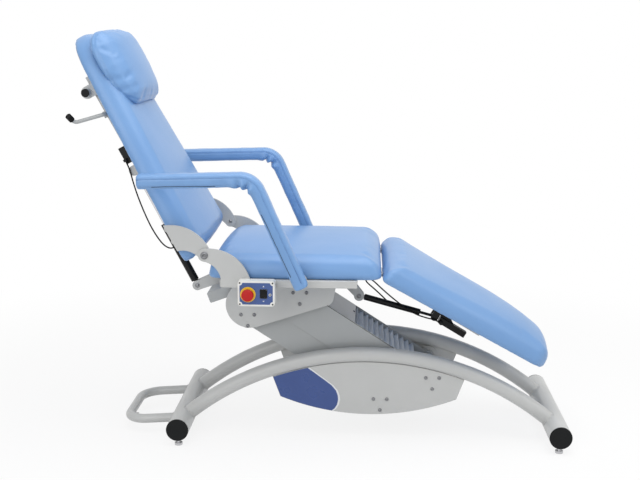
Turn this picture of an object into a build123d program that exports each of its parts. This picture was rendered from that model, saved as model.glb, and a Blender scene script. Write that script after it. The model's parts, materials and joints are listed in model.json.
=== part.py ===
from build123d import *
from math import acos, atan2, cos, degrees, hypot, pi, radians, sin, sqrt, tan
import os

os.makedirs("parts", exist_ok=True)

# Electric beauty chair, in millimetres. X runs along the chair, head end to foot
# end, Y across it to the sitter's left, Z up from the floor. The origin is on the
# floor, midway along the whole chair.

# Fits and clearances that every piece shares
running_fit = 0.05
seat_gap = 0.3
weld_gap = 0.2
overrun = 20.0

# Base: two cross tubes, two bowed tubes and the two side plates under them
base_x = 158.0
base_span = 1292.0
cross_tube_diameter = 76.2
cross_tube_wall = 3.0
cross_tube_length = 556.0
cross_tube_z = 60.0
cap_rim = 4.0
cap_spigot = 16.0
cap_spigot_wall = 2.5
bow_diameter = 50.8
bow_wall = 3.0
bow_spacing = 300.0
bow_peak_z = 300.0
plate_thickness = 5.0
plate_spacing = 315.0
side_plate_top_half = 330.0
side_plate_low_half = 304.0
side_plate_corner_z = 147.0
side_plate_belly_z = 88.0

# Rear stabiliser loop and the levelling feet
loop_diameter = 31.75
loop_wall = 2.5
loop_reach = 204.0
loop_width = 300.0
loop_bend = 72.0
loop_drop = 14.0
loop_tab_width = 16.0
loop_tab_height = 22.0
loop_tab_thickness = 5.0
foot_diameter = 27.0
foot_height = 8.0
foot_stud_diameter = 10.0
foot_nut_diameter = 19.0
foot_nut_height = 5.0
foot_inset = 22.0

# Parallelogram lift: arm length between pivots and its slope in the drawn pose
arm_length = 544.0
arm_slope = 32.7
low_pivot_x = 42.0
low_pivot_z = 130.0
pivot_spacing_x = 179.0
pivot_spacing_z = 80.0
axle_diameter = 25.0
hub_diameter = 44.0
flange_diameter = 70.0
flange_thickness = 7.0
bolt_circle = 53.0
bolt_head_diameter = 13.0
bolt_head_height = 3.5
arm_sheet = 3.0
upper_arm_width = 244.0
upper_arm_above = 18.0
upper_arm_below = 105.0
arm_end_radius = 38.0
arm_gap = 1.5
lower_arm_above = 105.0
lower_arm_below = 31.0
torsion_tube_diameter = 40.0
web_start = 331.0
bellows_start = 66.0
bellows_pitch = 22.0
bellows_depth = 15.0
bellows_sheet = 1.6

# Lift actuator
actuator_foot_x = 150.0
actuator_foot_z = 134.0
actuator_reach = 352.0
actuator_offset = -20.0
actuator_tube_diameter = 46.0
actuator_rod_diameter = 28.0
actuator_tube_length = 206.0
actuator_retract = 34.0
actuator_pin_diameter = 14.0
actuator_eye_diameter = 34.0
actuator_eye_width = 24.0
motor_diameter = 62.0
motor_length = 120.0
motor_offset = 54.0
gearbox_length = 66.0
gearbox_width = 60.0
lug_thickness = 6.0
beam_size = 36.0

# Carriage plates hung under the seat frame
lobe_radius = 82.0
lobe_shift_x = 7.0
lobe_shift_z = 49.0
carriage_edge_rise = 18.2
carriage_rear = 31.0
carriage_front = 301.0
carriage_corner = 284.0
carriage_corner_radius = 26.0

# Seat frame: places on the seat and above it are measured from a datum that the lift's rear upper
# pivot carries, this far towards the foot end and up in the drawn pose
datum_ahead = 415.7819
datum_above = 173.1093
rail_height = 24.0
rail_width = 40.0
rail_outer = 650.0
rail_rear_x = -487.0
rail_front_x = -40.0
tube_wall = 2.0
cross_member_xs = (-472.0, -300.0, -122.0, -55.0)
cross_member_width = 30.0

# Cushions: a plywood board let into the underside, a drawn-in side and a crown
pad_half = 315.0
pad_tuck = 10.0
pad_draw = 5.0
pad_roll = 36.0
pad_lip = 24.0
pad_end_crown = 8.0
board_thickness = 12.0
board_inset = 16.0
seat_rear_x = -529.0
seat_length = 565.5
seat_side = 62.0
seat_crown = 88.0
seat_end_roll = 50.0
seat_corner = 30.0

# Shares of a pad's own sizes that shape its side and shoulder
bulge_share = 0.35
shoulder_share = 0.45
lip_roll_share = 0.6
shoulder_shares = (0.3, 0.2)

# Backrest, hinged to the seat on two pairs of crescent plates
hinge_x = -535.0
hinge_z = 81.0
back_slope = 61.5
back_length = 816.0
back_heel = 4.0
back_front = 76.5
back_head_half = 195.0
back_side = 62.0
back_crown = 85.0
back_head_corner = 110.0
back_head_roll = 46.0
back_heel_roll = 40.0
back_rail_spacing = 260.0
back_rail_width = 30.0
back_rail_low = 40.0
back_rail_inset = 126.0
back_rail_high = back_length - back_rail_inset
back_member_inset = 256.0
back_member_alongs = (56.0, 345.0, back_length - back_member_inset)
crescent_thickness = 8.0
crescent_face = 325.0
crescent_boss = 21.0
crescent_far = 148.0
crescent_near = 53.0
crescent_level = 78.0
crescent_out = (100.0, 7.0)
crescent_in = (34.0, 40.0)
back_crescent_foot = 73.0
hinge_bolt_diameter = 12.0
hinge_head_diameter = 20.0
hinge_head_height = 6.0
spacer_diameter = 20.0
spacer_alongs = (85.0, 130.0)
spacer_depth = 68.5

# Leg rest
knee_x = 38.0
knee_z = 9.0
leg_slope = 31.0
leg_length = 627.0
leg_start = 9.3
leg_drop = 9.3
leg_foot_half = 168.0
leg_side = 56.0
leg_crown = 80.0
leg_knee_roll = 44.0
leg_foot_roll = 26.0
leg_corner = 24.0
leg_rail_spacing = 200.0
leg_rail_low = 84.0
leg_rail_high = 560.0
leg_member_alongs = (100.0, 284.0, 530.0)
knee_barrel_diameter = 12.0
knee_pin_diameter = 6.0
knee_leaf = 4.0
knee_leaf_length = 62.0
knee_leaf_setback = 14.0
knee_hinge_width = 60.0
knee_hinge_spacing = 400.0
knee_notch = 11.0

# Armrests
armrest_spacing = 760.0
armrest_pivot_x = -222.0
armrest_pivot_z = 3.0
armrest_corner_x = -372.0
armrest_corner_z = 337.0
armrest_rear_x = -738.0
armrest_rear_z = 326.0
armrest_bend_radius = 62.0
armrest_tube_diameter = 25.0
armrest_hub_diameter = 38.0
armrest_bolt_diameter = 12.0
armrest_bracket = 6.0
sleeve_width = 58.0
sleeve_depth = 47.0
sleeve_round = 17.0
sleeve_end_pad = 16.0

# Gas springs
spring_eye_diameter = 24.0
spring_eye_width = 12.0
spring_pin_diameter = 8.0
spring_pin_length = 28.0
cheek_thickness = 5.0
cheek_gap = 29.0
back_spring_foot_x = -612.0
back_spring_foot_z = -95.0
back_spring_along = 345.0
back_spring_behind = 68.5
back_spring_diameter = 28.0
back_spring_rod_diameter = 12.0
back_spring_length = 250.0
back_head_length = 14.0
back_head_diameter = 26.0
leg_spring_foot_x = -36.0
leg_spring_foot_z = -125.0
leg_spring_along = 272.4
leg_spring_below = 67.3
leg_spring_diameter = 22.0
leg_spring_rod_diameter = 10.0
leg_spring_length = 226.0
leg_head_length = 10.0
leg_head_diameter = 20.0
bracket_round = 18.0
block_width = 26.0
block_start = 30.0
back_block_length = 62.0
back_block_depth = 26.0
leg_block_start = 20.0
leg_block_length = 108.0
leg_block_depth = 22.0

# Power box, control box and its controls
power_length = 168.0
power_height = 38.0
power_width = 110.0
power_slope = 20.0
power_x = -545.0
power_z = -124.0
power_near_face = 150.0
power_corner = 5.0
inlet_width = 30.0
inlet_height = 22.0
inlet_depth = 14.0
box_width = 119.0
box_height = 83.0
box_depth = 36.7
box_x = -423.0
box_z = -76.0
box_corner = 9.0
box_foot = 12.0
label_margin = 6.0
label_thickness = 1.2
stop_x = -390.0
stop_z = -37.0
stop_diameter = 40.0
stop_neck_diameter = 24.0
stop_neck_depth = 16.0
stop_cap_thickness = 13.0
stop_ring_diameter = 50.0
stop_ring_thickness = 2.0
stop_travel = 4.0
switch_x = -339.5
switch_z = -34.5
switch_width = 24.0
switch_height = 31.0
switch_depth = 15.0
switch_pivot_depth = 7.0
switch_rise = 3.0
switch_axle_diameter = 4.0
switch_axle_seat = 3.0

# Head pillow, push bar and release lever behind the backrest
pillow_inset = 281.0
pillow_low = back_length - pillow_inset
pillow_length = 262.0
pillow_half = 182.0
pillow_low_half = 156.0
pillow_thickness = 62.0
pillow_lip = 16.0
pillow_roll = 60.0
pillow_draw = 22.0
pillow_gap = 2.0
push_bar_inset = 173.0
push_bar_along = back_length - push_bar_inset
push_bar_behind = 38.0
push_bar_diameter = 28.0
push_bar_wall = 2.0
push_bar_length = 380.0
push_bar_lug_width = 41.0
push_bar_lug = 6.0
push_bar_lug_spacing = 330.0
plug_length = 7.0
lever_inset = 264.0
lever_along = back_length - lever_inset
lever_behind = 12.0
lever_diameter = 13.0
lever_arm_y = 206.0
lever_shaft_inner = 150.0
lever_bearing_width = 22.0
lever_bearing_y = 170.0
lever_reach = 103.0
lever_climb = 23.0
lever_tip = 24.0
lever_bend = 16.0
grip_diameter = 20.0
grip_length = 22.0
cable_diameter = 5.0
gland_diameter = 11.0
gland_length = 10.0
cable_side = 26.0
back_cable_start = 385.0

# Route of the back cable: places along the backrest from its hinge, and behind it
back_cable_alongs = (385, 362, 318, 265, 202, 140, 88, 60, 44, 42, 53, 62, 62)
back_cable_behinds = (76, 76, 88, 99.5, 108.5, 113.5, 110.5, 103, 90, 73, 58, 47, 34)

# Route of the leg cable: places along the chair, across it and up from the floor
leg_cable_xs = (66, 66, 56, 36, 10, -9, -14, -2, 16, 42, 80, 125, 167, 206, 234, 249.8)
leg_cable_ys = (11.3, 24, 33, 34, 27, 14, 0, -12, -20, -25, -26, -26, -26, -26, -26, -26)
leg_cable_zs = (
    -152.4, -152.4, -144.0, -125.0, -100.0, -81.0, -66.0, -59.0,
    -68.0, -92.0, -125.0, -160.0, -186.0, -198.0, -203.6, -213.1,
)


# Working values that follow from the sizes above
low_pivot = Vector(base_x + low_pivot_x, 0, low_pivot_z)
high_pivot = low_pivot + Vector(pivot_spacing_x, 0, pivot_spacing_z)
arm_run = arm_length * cos(radians(arm_slope))
arm_rise = arm_length * sin(radians(arm_slope))
arm_vector = Vector(-arm_run, 0, arm_rise)
low_carriage = low_pivot + arm_vector
high_carriage = high_pivot + arm_vector
seat_x = low_carriage.X + datum_ahead
seat_z = low_carriage.Z + datum_above
hinge = Vector(seat_x + hinge_x, 0, seat_z + hinge_z)
knee = Vector(seat_x + knee_x, 0, seat_z + knee_z)
plate_inner = plate_spacing / 2
bow_y = bow_spacing / 2
bow_rise = bow_peak_z - cross_tube_z
bow_radius = (bow_rise**2 + (base_span / 2) ** 2) / (2 * bow_rise)
bow_centre_z = bow_peak_z - bow_radius
rail_y = rail_outer / 2 - rail_width / 2
sides = (("right", -1), ("left", 1))


def save(builder, node_name):
    builder.part.label = node_name
    export_step(builder.part, f"parts/{node_name}.step")


def side_plane(x, z, y=0.0):
    """Drawing plane seen from the sitter's right: local x to the foot end, y up."""
    return Plane(origin=(x, y, z), x_dir=(1, 0, 0), z_dir=(0, -1, 0))


def headward(origin, slope, y=0.0):
    """Side plane whose local x climbs to the head end at a slope, y square to it."""
    run = (-cos(radians(slope)), 0, sin(radians(slope)))
    return Plane(origin=(origin.X, y, origin.Z), x_dir=run, z_dir=(0, 1, 0))


def footward(origin, slope, y=0.0):
    """Side plane whose local x falls to the foot end at a slope, y square to it."""
    run = (cos(radians(slope)), 0, -sin(radians(slope)))
    return Plane(origin=(origin.X, y, origin.Z), x_dir=run, z_dir=(0, -1, 0))


def across(origin, slope, distance):
    """Section plane of a pad: local x across the chair, y out of the pad's face."""
    run = Vector(cos(radians(slope)), 0, -sin(radians(slope)))
    return Plane(origin=origin + run * distance, x_dir=(0, 1, 0), z_dir=run)


def plan(origin, slope, lift=0.0):
    """Plan plane of a pad: local x along the pad, y to the sitter's left."""
    run = Vector(cos(radians(slope)), 0, -sin(radians(slope)))
    rise = Vector(sin(radians(slope)), 0, cos(radians(slope)))
    return Plane(origin=origin + rise * lift, x_dir=run, z_dir=rise)


def rounding(distance, radius):
    """Share of the full size that a rounded end has reached at a distance into it."""
    if distance >= radius:
        return 1
    return sqrt(1 - (1 - distance / radius) ** 2)


def pad_section(plane, half, side, crown):
    """Section of a pad: flat underside, drawn-in sides, rolled shoulders and a crown."""
    roll = min(pad_roll, side * lip_roll_share)
    shoulder = side + (crown - side) * shoulder_share
    along_share, up_share = shoulder_shares
    edge = half - pad_draw
    with BuildSketch(plane) as section:
        with BuildLine():
            Line((pad_tuck - half, 0), (half - pad_tuck, 0))
            ThreePointArc((half - pad_tuck, 0), (half, side * bulge_share), (edge, side - roll / 2))
            ThreePointArc(
                (edge, side - roll / 2),
                (edge - roll * along_share, side + (shoulder - side) * up_share),
                (edge - roll, shoulder),
            )
            ThreePointArc((edge - roll, shoulder), (0, crown), (roll - edge, shoulder))
            ThreePointArc(
                (roll - edge, shoulder),
                (roll * along_share - edge, side + (shoulder - side) * up_share),
                (-edge, side - roll / 2),
            )
            ThreePointArc((-edge, side - roll / 2), (-half, side * bulge_share), (pad_tuck - half, 0))
        make_face()
    return section.sketch


def pad_body(start, slope, length, half_at, heights, ends):
    """Pad from its head end, as sections closing in a roll and round corners at both ends."""
    side, crown = heights
    spreads = [max(end) for end in ends]
    shares = [1 - cos(radians(angle)) for angle in (0, 22, 45, 90)]
    distances = [spreads[0] * share for share in shares]
    distances += [length - spreads[1] * share for share in reversed(shares)]
    sections = []
    for distance in distances:
        in_head = distance < length / 2
        roll, corner = ends[0] if in_head else ends[1]
        inside = distance if in_head else length - distance
        full = rounding(inside, roll)
        half = half_at(distance) - corner * (1 - rounding(inside, corner))
        side_now = pad_lip + (side - pad_lip) * full
        crown_now = side_now + pad_end_crown + (crown - side - pad_end_crown) * full
        sections.append(pad_section(across(start, slope, distance), half, side_now, crown_now))
    loft(sections, ruled=True)


def board_body(start, slope, length, half_at, corners, extra=0.0, mode=Mode.ADD):
    """Board let into a pad's underside, or its pocket with extra room and cut mode."""
    near, far = board_inset - extra, length - board_inset + extra
    near_half, far_half = half_at(near) - board_inset + extra, half_at(far) - board_inset + extra
    with BuildSketch(plan(start, slope)) as outline:
        with BuildLine():
            Polyline((near, -near_half), (far, -far_half), (far, far_half), (near, near_half), close=True)
        make_face()
        fillet(outline.vertices().group_by(Axis.X)[0], radius=corners[0])
        fillet(outline.vertices().group_by(Axis.X)[-1], radius=corners[1])
    extrude(outline.sketch, amount=board_thickness, mode=mode)


def cord_radii(points):
    """Each bend's radius: as large as its two runs allow."""
    radii = []
    for before, here, after in zip(points, points[1:], points[2:]):
        turn = (here - before).get_angle(after - here)
        run = min((here - before).length, (after - here).length)
        radii.append(0.45 * run / tan(radians(turn / 2)))
    return radii


# Cross tubes with their black end caps
for name, end in (("rear", -1), ("front", 1)):
    tube_plane = side_plane(base_x + end * base_span / 2, cross_tube_z)
    with BuildPart() as cross_tube:
        with BuildSketch(tube_plane):
            Circle(cross_tube_diameter / 2)
            Circle(cross_tube_diameter / 2 - cross_tube_wall, mode=Mode.SUBTRACT)
        extrude(amount=cross_tube_length / 2, both=True)
    save(cross_tube, f"{name}_cross_tube")

with BuildPart() as end_caps:
    for end in (-1, 1):
        for _, side in sides:
            mouth = side_plane(base_x + end * base_span / 2, cross_tube_z, side * cross_tube_length / 2)
            bore = cross_tube_diameter / 2 - cross_tube_wall - running_fit
            with BuildSketch(mouth):
                Circle(cross_tube_diameter / 2)
            extrude(amount=-side * cap_rim)
            with BuildSketch(mouth):
                Circle(bore)
                Circle(bore - cap_spigot_wall, mode=Mode.SUBTRACT)
            extrude(amount=side * cap_spigot)
save(end_caps, "tube_end_caps")

# Bowed tubes, coped over the cross tubes
for name, side in sides:
    with BuildPart() as bow:
        with BuildLine(side_plane(base_x, 0, side * bow_y)) as bow_path:
            ThreePointArc(
                (-base_span / 2, cross_tube_z), (0, bow_peak_z), (base_span / 2, cross_tube_z)
            )
        with BuildSketch(Plane(origin=bow_path.line @ 0, z_dir=bow_path.line % 0)):
            Circle(bow_diameter / 2)
            Circle(bow_diameter / 2 - bow_wall, mode=Mode.SUBTRACT)
        sweep()
        for end in (-1, 1):
            with BuildSketch(side_plane(base_x + end * base_span / 2, cross_tube_z, side * bow_y)):
                Circle(cross_tube_diameter / 2 + weld_gap)
            extrude(amount=bow_diameter, both=True, mode=Mode.SUBTRACT)
    save(bow, f"{name}_bow_tube")

# Side plates, cut to the underside of the bowed tubes
tube_drop = sqrt((bow_diameter / 2) ** 2 - (plate_inner - bow_y) ** 2) + weld_gap
plate_top_radius = bow_radius - tube_drop
plate_top_z = bow_centre_z + sqrt(plate_top_radius**2 - side_plate_top_half**2)
for name, side in sides:
    with BuildPart() as side_plate:
        with BuildSketch(side_plane(base_x, 0, side * (plate_inner + plate_thickness / 2))):
            with BuildLine():
                ThreePointArc(
                    (-side_plate_top_half, plate_top_z),
                    (0, bow_centre_z + plate_top_radius),
                    (side_plate_top_half, plate_top_z),
                )
                Line((side_plate_top_half, plate_top_z), (side_plate_low_half, side_plate_corner_z))
                ThreePointArc(
                    (side_plate_low_half, side_plate_corner_z),
                    (0, side_plate_belly_z),
                    (-side_plate_low_half, side_plate_corner_z),
                )
                Line((-side_plate_low_half, side_plate_corner_z), (-side_plate_top_half, plate_top_z))
            make_face()
            with Locations(
                (low_pivot_x, low_pivot_z),
                (low_pivot_x + pivot_spacing_x, low_pivot_z + pivot_spacing_z),
            ):
                Circle(axle_diameter / 2 + running_fit, mode=Mode.SUBTRACT)
        extrude(amount=plate_thickness / 2, both=True)
    save(side_plate, f"{name}_side_plate")


def pivot_set(pivots, arm_half_widths, plate_faces):
    """Axles through both plates with a flanged hub inside each plate."""
    for pivot, arm_half, plate_face in zip(pivots, arm_half_widths, plate_faces):
        with BuildSketch(side_plane(pivot.X, pivot.Z)) as axle:
            Circle(axle_diameter / 2)
        extrude(axle.sketch, amount=plate_face + plate_thickness, both=True)
        for _, side in sides:
            with BuildSketch(side_plane(pivot.X, pivot.Z, side * plate_face)) as flange:
                Circle(flange_diameter / 2)
            extrude(flange.sketch, amount=side * flange_thickness)
            with BuildSketch(side_plane(pivot.X, pivot.Z, side * plate_face)) as hub:
                Circle(hub_diameter / 2)
            extrude(hub.sketch, amount=side * (plate_face - arm_half - arm_gap))


def bolt_heads(pivots, plate_faces):
    """Three round heads round each pivot on the outer face of each plate."""
    for pivot, plate_face in zip(pivots, plate_faces):
        for _, side in sides:
            outer_face = side_plane(pivot.X, pivot.Z, side * (plate_face + plate_thickness))
            with BuildSketch(outer_face) as heads:
                with PolarLocations(bolt_circle / 2, 3, start_angle=-90):
                    Circle(bolt_head_diameter / 2)
            extrude(heads.sketch, amount=-side * bolt_head_height)


upper_half = upper_arm_width / 2
lower_half = upper_half - arm_sheet - arm_gap
arm_halves = (lower_half, upper_half)

with BuildPart() as base_pivots:
    pivot_set((low_pivot, high_pivot), arm_halves, (plate_inner, plate_inner))
save(base_pivots, "base_pivot_axles")

with BuildPart() as base_bolts:
    bolt_heads((low_pivot, high_pivot), (plate_inner, plate_inner))
save(base_bolts, "base_pivot_bolts")

# Beam between the side plates, with the clevis that carries the lift actuator
actuator_foot = Vector(base_x + actuator_foot_x, 0, actuator_foot_z)
eye_gap = actuator_eye_width / 2 + arm_gap
with BuildPart() as actuator_beam:
    with BuildSketch(side_plane(actuator_foot.X + beam_size, actuator_foot.Z)):
        Rectangle(beam_size, beam_size)
        Rectangle(beam_size - 2 * arm_sheet, beam_size - 2 * arm_sheet, mode=Mode.SUBTRACT)
    extrude(amount=plate_inner, both=True)
    for _, side in sides:
        with BuildSketch(side_plane(actuator_foot.X, actuator_foot.Z, side * eye_gap)):
            Circle(actuator_eye_diameter / 2)
            with Locations((beam_size / 4, 0)):
                Rectangle(beam_size / 2, actuator_eye_diameter)
            Circle(actuator_pin_diameter / 2 + running_fit, mode=Mode.SUBTRACT)
        extrude(amount=-side * lug_thickness)
save(actuator_beam, "actuator_beam")

# Rear stabiliser: a flat loop of tube with a small welded tab
loop_x = base_x - base_span / 2
loop_side = loop_width / 2
with BuildPart() as stabiliser:
    loop_lean = degrees(atan2(loop_drop, loop_reach))
    loop_plane = Plane(
        origin=(loop_x, 0, cross_tube_z),
        x_dir=(-cos(radians(loop_lean)), 0, -sin(radians(loop_lean))),
        z_dir=(sin(radians(loop_lean)), 0, -cos(radians(loop_lean))),
    )
    with BuildLine(loop_plane) as loop_path:
        FilletPolyline(
            (0, loop_side), (loop_reach, loop_side), (loop_reach, -loop_side), (0, -loop_side),
            radius=loop_bend,
        )
    with BuildSketch(Plane(origin=loop_path.line @ 0, z_dir=loop_path.line % 0)):
        Circle(loop_diameter / 2)
        Circle(loop_diameter / 2 - loop_wall, mode=Mode.SUBTRACT)
    sweep()
    with BuildSketch(side_plane(loop_x, cross_tube_z)):
        Circle(cross_tube_diameter / 2 + weld_gap)
    extrude(amount=cross_tube_length / 2, both=True, mode=Mode.SUBTRACT)
    tab_x = loop_x - loop_reach + loop_diameter / 2 - loop_wall
    with BuildSketch(side_plane(tab_x, cross_tube_z - loop_drop, -loop_side + loop_bend)):
        Rectangle(loop_tab_width, loop_tab_height, align=(Align.MIN, Align.MAX))
    extrude(amount=loop_tab_thickness)
save(stabiliser, "rear_stabiliser")

# Four levelling feet with their lock nuts
foot_y = cross_tube_length / 2 - foot_inset
tube_bottom = cross_tube_z - cross_tube_diameter / 2
with BuildPart() as feet:
    for end in (-1, 1):
        for _, side in sides:
            with BuildSketch(Plane.XY):
                with Locations((base_x + end * base_span / 2, side * foot_y)):
                    Circle(foot_diameter / 2)
            extrude(amount=foot_height)
            with BuildSketch(Plane.XY.offset(foot_height)):
                with Locations((base_x + end * base_span / 2, side * foot_y)):
                    Circle(foot_stud_diameter / 2)
            extrude(amount=tube_bottom - foot_height - weld_gap)
            with BuildSketch(Plane.XY.offset(tube_bottom - foot_nut_height - weld_gap)):
                with Locations((base_x + end * base_span / 2, side * foot_y)):
                    RegularPolygon(foot_nut_diameter / 2, 6)
            extrude(amount=foot_nut_height)
save(feet, "levelling_feet")

# Lower lift arm: a trough of sheet, open on top
lower_plane = headward(low_pivot, arm_slope)
lower_reach = arm_length + arm_end_radius
with BuildPart() as lower_arm:
    with BuildSketch(lower_plane) as lower_side:
        with BuildLine():
            ThreePointArc((0, arm_end_radius), (-arm_end_radius, 0), (0, -lower_arm_below))
            Line((0, -lower_arm_below), (arm_length, -lower_arm_below))
            ThreePointArc(
                (arm_length, -lower_arm_below), (lower_reach, 0), (arm_length, arm_end_radius)
            )
            Polyline(
                (arm_length, arm_end_radius),
                (arm_length - lower_arm_above, lower_arm_above),
                (lower_arm_above, lower_arm_above),
                (0, arm_end_radius),
            )
        make_face()
    extrude(amount=lower_half, both=True)
    with BuildSketch(lower_plane):
        with Locations((arm_length / 2, arm_sheet - lower_arm_below)):
            Rectangle(2 * arm_length, arm_length, align=(Align.CENTER, Align.MIN))
    extrude(amount=lower_half - arm_sheet, both=True, mode=Mode.SUBTRACT)
    with BuildSketch(lower_plane):
        with Locations((0, 0), (arm_length, 0)):
            Circle(torsion_tube_diameter / 2)
    extrude(amount=lower_half, both=True)
    with BuildSketch(lower_plane):
        with Locations((0, 0), (arm_length, 0)):
            Circle(axle_diameter / 2 + running_fit)
    extrude(amount=lower_half + overrun, both=True, mode=Mode.SUBTRACT)
save(lower_arm, "lower_lift_arm")

# Upper lift arm: a hood of sheet over the lower one, with the actuator's lugs
upper_plane = headward(high_pivot, arm_slope)
upper_reach = arm_length + arm_end_radius
with BuildPart() as upper_arm:
    with BuildSketch(upper_plane):
        with BuildLine():
            ThreePointArc((0, upper_arm_above), (-arm_end_radius, 0), (0, -arm_end_radius))
            Polyline(
                (0, -arm_end_radius),
                (upper_arm_below, -upper_arm_below),
                (upper_reach, -upper_arm_below),
                (upper_reach, upper_arm_above),
                (0, upper_arm_above),
            )
        make_face()
    extrude(amount=upper_half, both=True)
    with BuildSketch(upper_plane):
        with Locations((arm_length / 2, upper_arm_above - arm_sheet)):
            Rectangle(2 * arm_length, arm_length, align=(Align.CENTER, Align.MAX))
        with Locations((web_start, 0)):
            Rectangle(2 * arm_length, 2 * arm_length, align=(Align.MAX, Align.CENTER))
    extrude(amount=upper_half - arm_sheet, both=True, mode=Mode.SUBTRACT)
    with BuildSketch(upper_plane):
        Circle(torsion_tube_diameter / 2)
        with Locations((arm_length, 0)):
            Circle(torsion_tube_diameter / 2 - arm_sheet)
    extrude(amount=upper_half, both=True)
    for _, side in sides:
        with BuildSketch(headward(high_pivot, arm_slope, side * eye_gap)):
            with Locations((actuator_reach, actuator_offset)):
                Circle(actuator_eye_diameter / 2)
                Rectangle(
                    actuator_eye_diameter, upper_arm_above - actuator_offset,
                    align=(Align.CENTER, Align.MIN),
                )
        extrude(amount=side * lug_thickness)
    with BuildSketch(upper_plane):
        with Locations((0, 0), (arm_length, 0)):
            Circle(axle_diameter / 2 + running_fit)
    extrude(amount=upper_half + overrun, both=True, mode=Mode.SUBTRACT)
save(upper_arm, "upper_lift_arm")

# Pleated bellows that closes the upper arm between its web and the base
pleats = int((web_start - bellows_start) / bellows_pitch)
crest = upper_arm_above - arm_sheet
upper_line = []
lower_line = []
for index in range(2 * pleats + 1):
    along = bellows_start + index * bellows_pitch / 2
    height = crest - (bellows_depth if index % 2 == 0 else 0)
    upper_line.append((along, height))
    lower_line.append((along, height - bellows_sheet))
with BuildPart() as bellows:
    with BuildSketch(upper_plane):
        with BuildLine():
            Polyline(*upper_line, *reversed(lower_line), close=True)
        make_face()
    extrude(amount=upper_half - arm_sheet - seat_gap, both=True)
save(bellows, "lift_bellows")

# Lift actuator: foot eye, gearbox with the motor beside the tube, then the rod
upper_dir = Vector(-cos(radians(arm_slope)), 0, sin(radians(arm_slope)))
upper_out = Vector(sin(radians(arm_slope)), 0, cos(radians(arm_slope)))
actuator_head = high_pivot + upper_dir * actuator_reach + upper_out * actuator_offset
actuator_line = actuator_head - actuator_foot
actuator_slope = degrees(atan2(actuator_line.Z, -actuator_line.X))
actuator_plane = headward(actuator_foot, actuator_slope)
gearbox_start = actuator_eye_diameter / 2 + arm_gap
gearbox_end = gearbox_start + gearbox_length
tube_bore = actuator_rod_diameter / 2 + running_fit
along_actuator = Plane(origin=actuator_foot, x_dir=(0, 1, 0), z_dir=actuator_line)
with BuildPart() as actuator_body:
    with BuildSketch(actuator_plane):
        Circle(actuator_eye_diameter / 2 - arm_gap)
        with Locations((gearbox_start / 2, 0)):
            Rectangle(gearbox_start, actuator_eye_width)
    extrude(amount=actuator_eye_width / 2, both=True)
    with BuildSketch(actuator_plane):
        Circle(actuator_pin_diameter / 2)
    extrude(amount=eye_gap + lug_thickness, both=True)
    with BuildSketch(along_actuator.offset(gearbox_start)):
        with Locations((motor_offset / 2, 0)):
            RectangleRounded(motor_offset + motor_diameter, gearbox_width, gearbox_width / 3)
    extrude(amount=gearbox_length)
    with BuildSketch(along_actuator.offset(gearbox_end)):
        Circle(actuator_tube_diameter / 2)
        with Locations((motor_offset, 0)):
            Circle(motor_diameter / 2 - arm_sheet)
    extrude(amount=motor_length)
    with BuildSketch(along_actuator.offset(gearbox_end + motor_length)):
        Circle(actuator_tube_diameter / 2)
    extrude(amount=actuator_tube_length - gearbox_end - motor_length)
    with BuildSketch(along_actuator.offset(gearbox_end - arm_gap)):
        Circle(tube_bore)
    extrude(amount=actuator_tube_length, mode=Mode.SUBTRACT)
save(actuator_body, "lift_actuator")

with BuildPart() as actuator_rod:
    rod_start = gearbox_end + actuator_retract
    with BuildSketch(along_actuator.offset(rod_start)):
        Circle(actuator_rod_diameter / 2)
    extrude(amount=actuator_line.length - rod_start - gearbox_start)
    with BuildSketch(headward(actuator_head, actuator_slope)):
        Circle(actuator_eye_diameter / 2 - arm_gap)
        with Locations((-gearbox_start / 2, 0)):
            Rectangle(gearbox_start, actuator_eye_width)
    extrude(amount=actuator_eye_width / 2, both=True)
    with BuildSketch(headward(actuator_head, actuator_slope)):
        Circle(actuator_pin_diameter / 2)
    extrude(amount=eye_gap - seat_gap, both=True)
save(actuator_rod, "lift_actuator_rod")

# Carriage: two plates with a round lobe, their axles and bolts
lobe = low_carriage + Vector(lobe_shift_x, 0, lobe_shift_z)
rail_bottom = seat_z - rail_height
plate_top = rail_bottom - lobe.Z
rear_reach = hypot(carriage_rear, plate_top)
rear_angle = degrees(atan2(plate_top, -carriage_rear) + acos(lobe_radius / rear_reach))
low_angle = 270 + carriage_edge_rise


def on_lobe(angle):
    """Point of the lobe's rim at an angle from the foot end's direction."""
    return lobe_radius * cos(radians(angle)), lobe_radius * sin(radians(angle))


low_x, low_z = on_lobe(low_angle)
corner_z = low_z + (carriage_corner - low_x) * tan(radians(carriage_edge_rise))
for name, side in sides:
    with BuildPart() as carriage_plate:
        with BuildSketch(side_plane(lobe.X, lobe.Z, side * (plate_inner + plate_thickness / 2))):
            with BuildLine():
                Line((-carriage_rear, plate_top), on_lobe(rear_angle))
                ThreePointArc(on_lobe(rear_angle), on_lobe((rear_angle + low_angle) / 2), on_lobe(low_angle))
                Polyline(
                    on_lobe(low_angle),
                    (carriage_corner, corner_z),
                    (carriage_front, plate_top),
                    (-carriage_rear, plate_top),
                )
            make_face()
            fillet(vertices().sort_by(Axis.X)[-2], radius=carriage_corner_radius)
            for pivot in (low_carriage, high_carriage):
                with Locations((pivot.X - lobe.X, pivot.Z - lobe.Z)):
                    Circle(axle_diameter / 2 + running_fit, mode=Mode.SUBTRACT)
        extrude(amount=plate_thickness / 2, both=True)
    save(carriage_plate, f"{name}_carriage_plate")

with BuildPart() as carriage_pivots:
    pivot_set((low_carriage, high_carriage), arm_halves, (plate_inner, plate_inner))
save(carriage_pivots, "carriage_pivot_axles")

with BuildPart() as carriage_bolts:
    bolt_heads((low_carriage, high_carriage), (plate_inner, plate_inner))
save(carriage_bolts, "carriage_pivot_bolts")

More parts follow.
